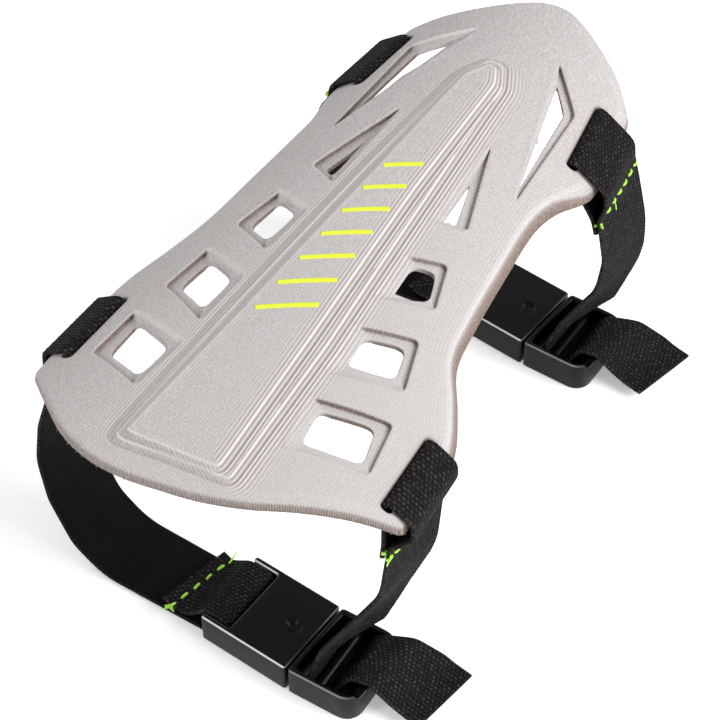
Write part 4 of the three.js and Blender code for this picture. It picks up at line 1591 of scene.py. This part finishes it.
def build_straps(webbing, plastic):
    """Webbing and buckle halves. Returns each strap's ribbon and the side of its ribbed face."""
    ribbons = {}
    for name, strap in STRAPS.items():
        for kind, ribbon, outer in (("sewn", sewn_ribbon(strap), -1), ("tail", tail_ribbon(strap), 1)):
            node_name = f"{name}_strap_{kind}"
            vertices, faces, marks = ribbon.mesh(outer)
            piece = add_piece(f"{name}_webbing_{kind}", vertices, faces, webbing, marks)
            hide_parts(node_name)
            ribbons[node_name] = (ribbon, outer)
        adjuster = adjuster_mesh(joint_slope(strap))
        halves = [
            ("socket", socket_mesh(), strap["socket_yaw"], 0),
            ("adjuster", adjuster, strap["adjuster_yaw"], adjuster_offset(strap)),
        ]
        for half, (vertices, faces, marks), yaw, offset in halves:
            spots = placed(vertices, strap, yaw, offset)
            piece = add_piece(f"{name}_{half}", spots, faces, plastic, marks)
            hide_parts(f"{name}_buckle_{half}")
    return ribbons


def stitch(ribbon, side, place, share):
    """One stitch across the webbing that dips into it at both ends."""
    index = int(round(place / WEAVE_STEP))
    half = STITCH_LENGTH / ribbon.width[index]
    lean = rng.normal(0, STITCH_LEAN)
    points = []
    for step in np.linspace(-1, 1, 7):
        lift = side * (WEBBING_THICKNESS / 2 + STITCH_RISE - STITCH_DIP * step**4)
        points.append(ribbon.at(index, share + half * step, lift) + ribbon.tangent[index] * lean * step)
    return tube(points, THREAD_RADIUS * rng.uniform(*STITCH_SPREAD), 8)


def loose_end(ribbon, side, place, share, length):
    """A curled thread end that stands off the webbing."""
    index = int(round(place / WEAVE_STEP))
    start = ribbon.at(index, share, side * WEBBING_THICKNESS / 2)
    ways = [ribbon.tangent[index], ribbon.across[index], ribbon.normal[index] * side]
    first = ways[0] * rng.normal(0, 1) + ways[1] * rng.normal(share, LOOSE_SPLAY) + ways[2] * LOOSE_LIFT
    first /= np.linalg.norm(first)
    curl = ways[0] * rng.normal(0, LOOSE_CURL) + ways[1] * rng.normal(0, LOOSE_CURL)
    reach = length * rng.uniform(*LOOSE_SPREAD)
    points = [start + (first * t + curl * t * t * 0.5) * reach for t in np.linspace(0, 1, 6)]
    return tube(points, THREAD_RADIUS * np.linspace(*LOOSE_TAPER, 6), 6)


def build_stitches(ribbons, material):
    parts = []
    for name, face, first, first_share, last, last_share, count in SEAM_ROWS:
        ribbon, outer = ribbons[name]
        places = np.linspace(first, last, count)
        for place, share in zip(places, np.linspace(first_share, last_share, count)):
            parts.append(stitch(ribbon, outer * face, place, share))
    for name, face, place, share, count, length in LOOSE_ENDS:
        ribbon, outer = ribbons[name]
        for _ in range(count):
            parts.append(loose_end(ribbon, outer * face, place, share, length))
    vertices, faces = joined(parts)
    add_piece("seam_stitches", vertices, faces, material)


def build_floor():
    mesh = bpy.data.meshes.new("floor")
    reach = FLOOR_REACH
    corners = [(x * reach, y * reach, 0) for x, y in ((-1, -1), (1, -1), (1, 1), (-1, 1))]
    mesh.from_pydata(corners, [], [(0, 1, 2, 3)])
    grey = (FLOOR_GREY, FLOOR_GREY, FLOOR_GREY, 1)
    glow = {"Emission_Color": (1, 1, 1, 1), "Emission_Strength": FLOOR_GLOW}
    material = base_material("floor", Roughness=0.9, Base_Color=grey, **glow)[0]
    mesh.materials.append(material)
    floor = bpy.data.objects.new("floor", mesh)
    bpy.context.scene.collection.objects.link(floor)


def aimed(name, data, target, azimuth, elevation, distance):
    """Camera or lamp that looks at a target from an azimuth and elevation."""
    turn, rise = math.radians(azimuth), math.radians(elevation)
    away = Vector((math.sin(turn) * math.cos(rise), -math.cos(turn) * math.cos(rise), math.sin(rise)))
    made = bpy.data.objects.new(name, data)
    made.location = (Vector(target) + away * distance) * METRES
    made.rotation_mode = "QUATERNION"
    made.rotation_quaternion = (-away).to_track_quat("-Z", "Y")
    bpy.context.scene.collection.objects.link(made)
    return made


def add_light(name, azimuth, elevation, distance, width, height, power):
    """Softbox that faces the middle of the guard."""
    lamp = bpy.data.lights.new(name, "AREA")
    lamp.shape = "RECTANGLE"
    lamp.size = width
    lamp.size_y = height
    lamp.energy = power
    aimed(name, lamp, (0, 0, CROWN_HEIGHT), azimuth, elevation, distance / METRES)


def build_light():
    world = bpy.data.worlds.new("studio")
    world.use_nodes = True
    tree = world.node_tree
    way = node(tree, "ShaderNodeTexCoord").outputs["Generated"]
    height = node(tree, "ShaderNodeSeparateXYZ", [("Vector", way)]).outputs["Z"]
    sky = mixed(tree, height, (SKY_LOW, SKY_LOW, SKY_LOW, 1), (SKY_HIGH, SKY_HIGH, SKY_HIGH, 1))
    tree.links.new(sky, tree.nodes["Background"].inputs["Color"])
    bpy.context.scene.world = world
    for light in LIGHTS:
        add_light(*light)
    bpy.context.scene.view_settings.view_transform = "Standard"


def build_camera():
    lens = bpy.data.cameras.new("camera")
    lens.lens = CAMERA_LENS
    lens.sensor_width = CAMERA_SENSOR
    lens.clip_start, lens.clip_end = CAMERA_CLIP
    place = (CAMERA_TARGET, CAMERA_AZIMUTH, CAMERA_ELEVATION, CAMERA_DISTANCE)
    bpy.context.scene.camera = aimed("camera", lens, *place)


build_camera()
build_light()
build_floor()
build_shell(knit_material())
build_print(print_material())
build_fibres(fibre_material())
build_stitches(build_straps(webbing_material(), plastic_material()), thread_material())
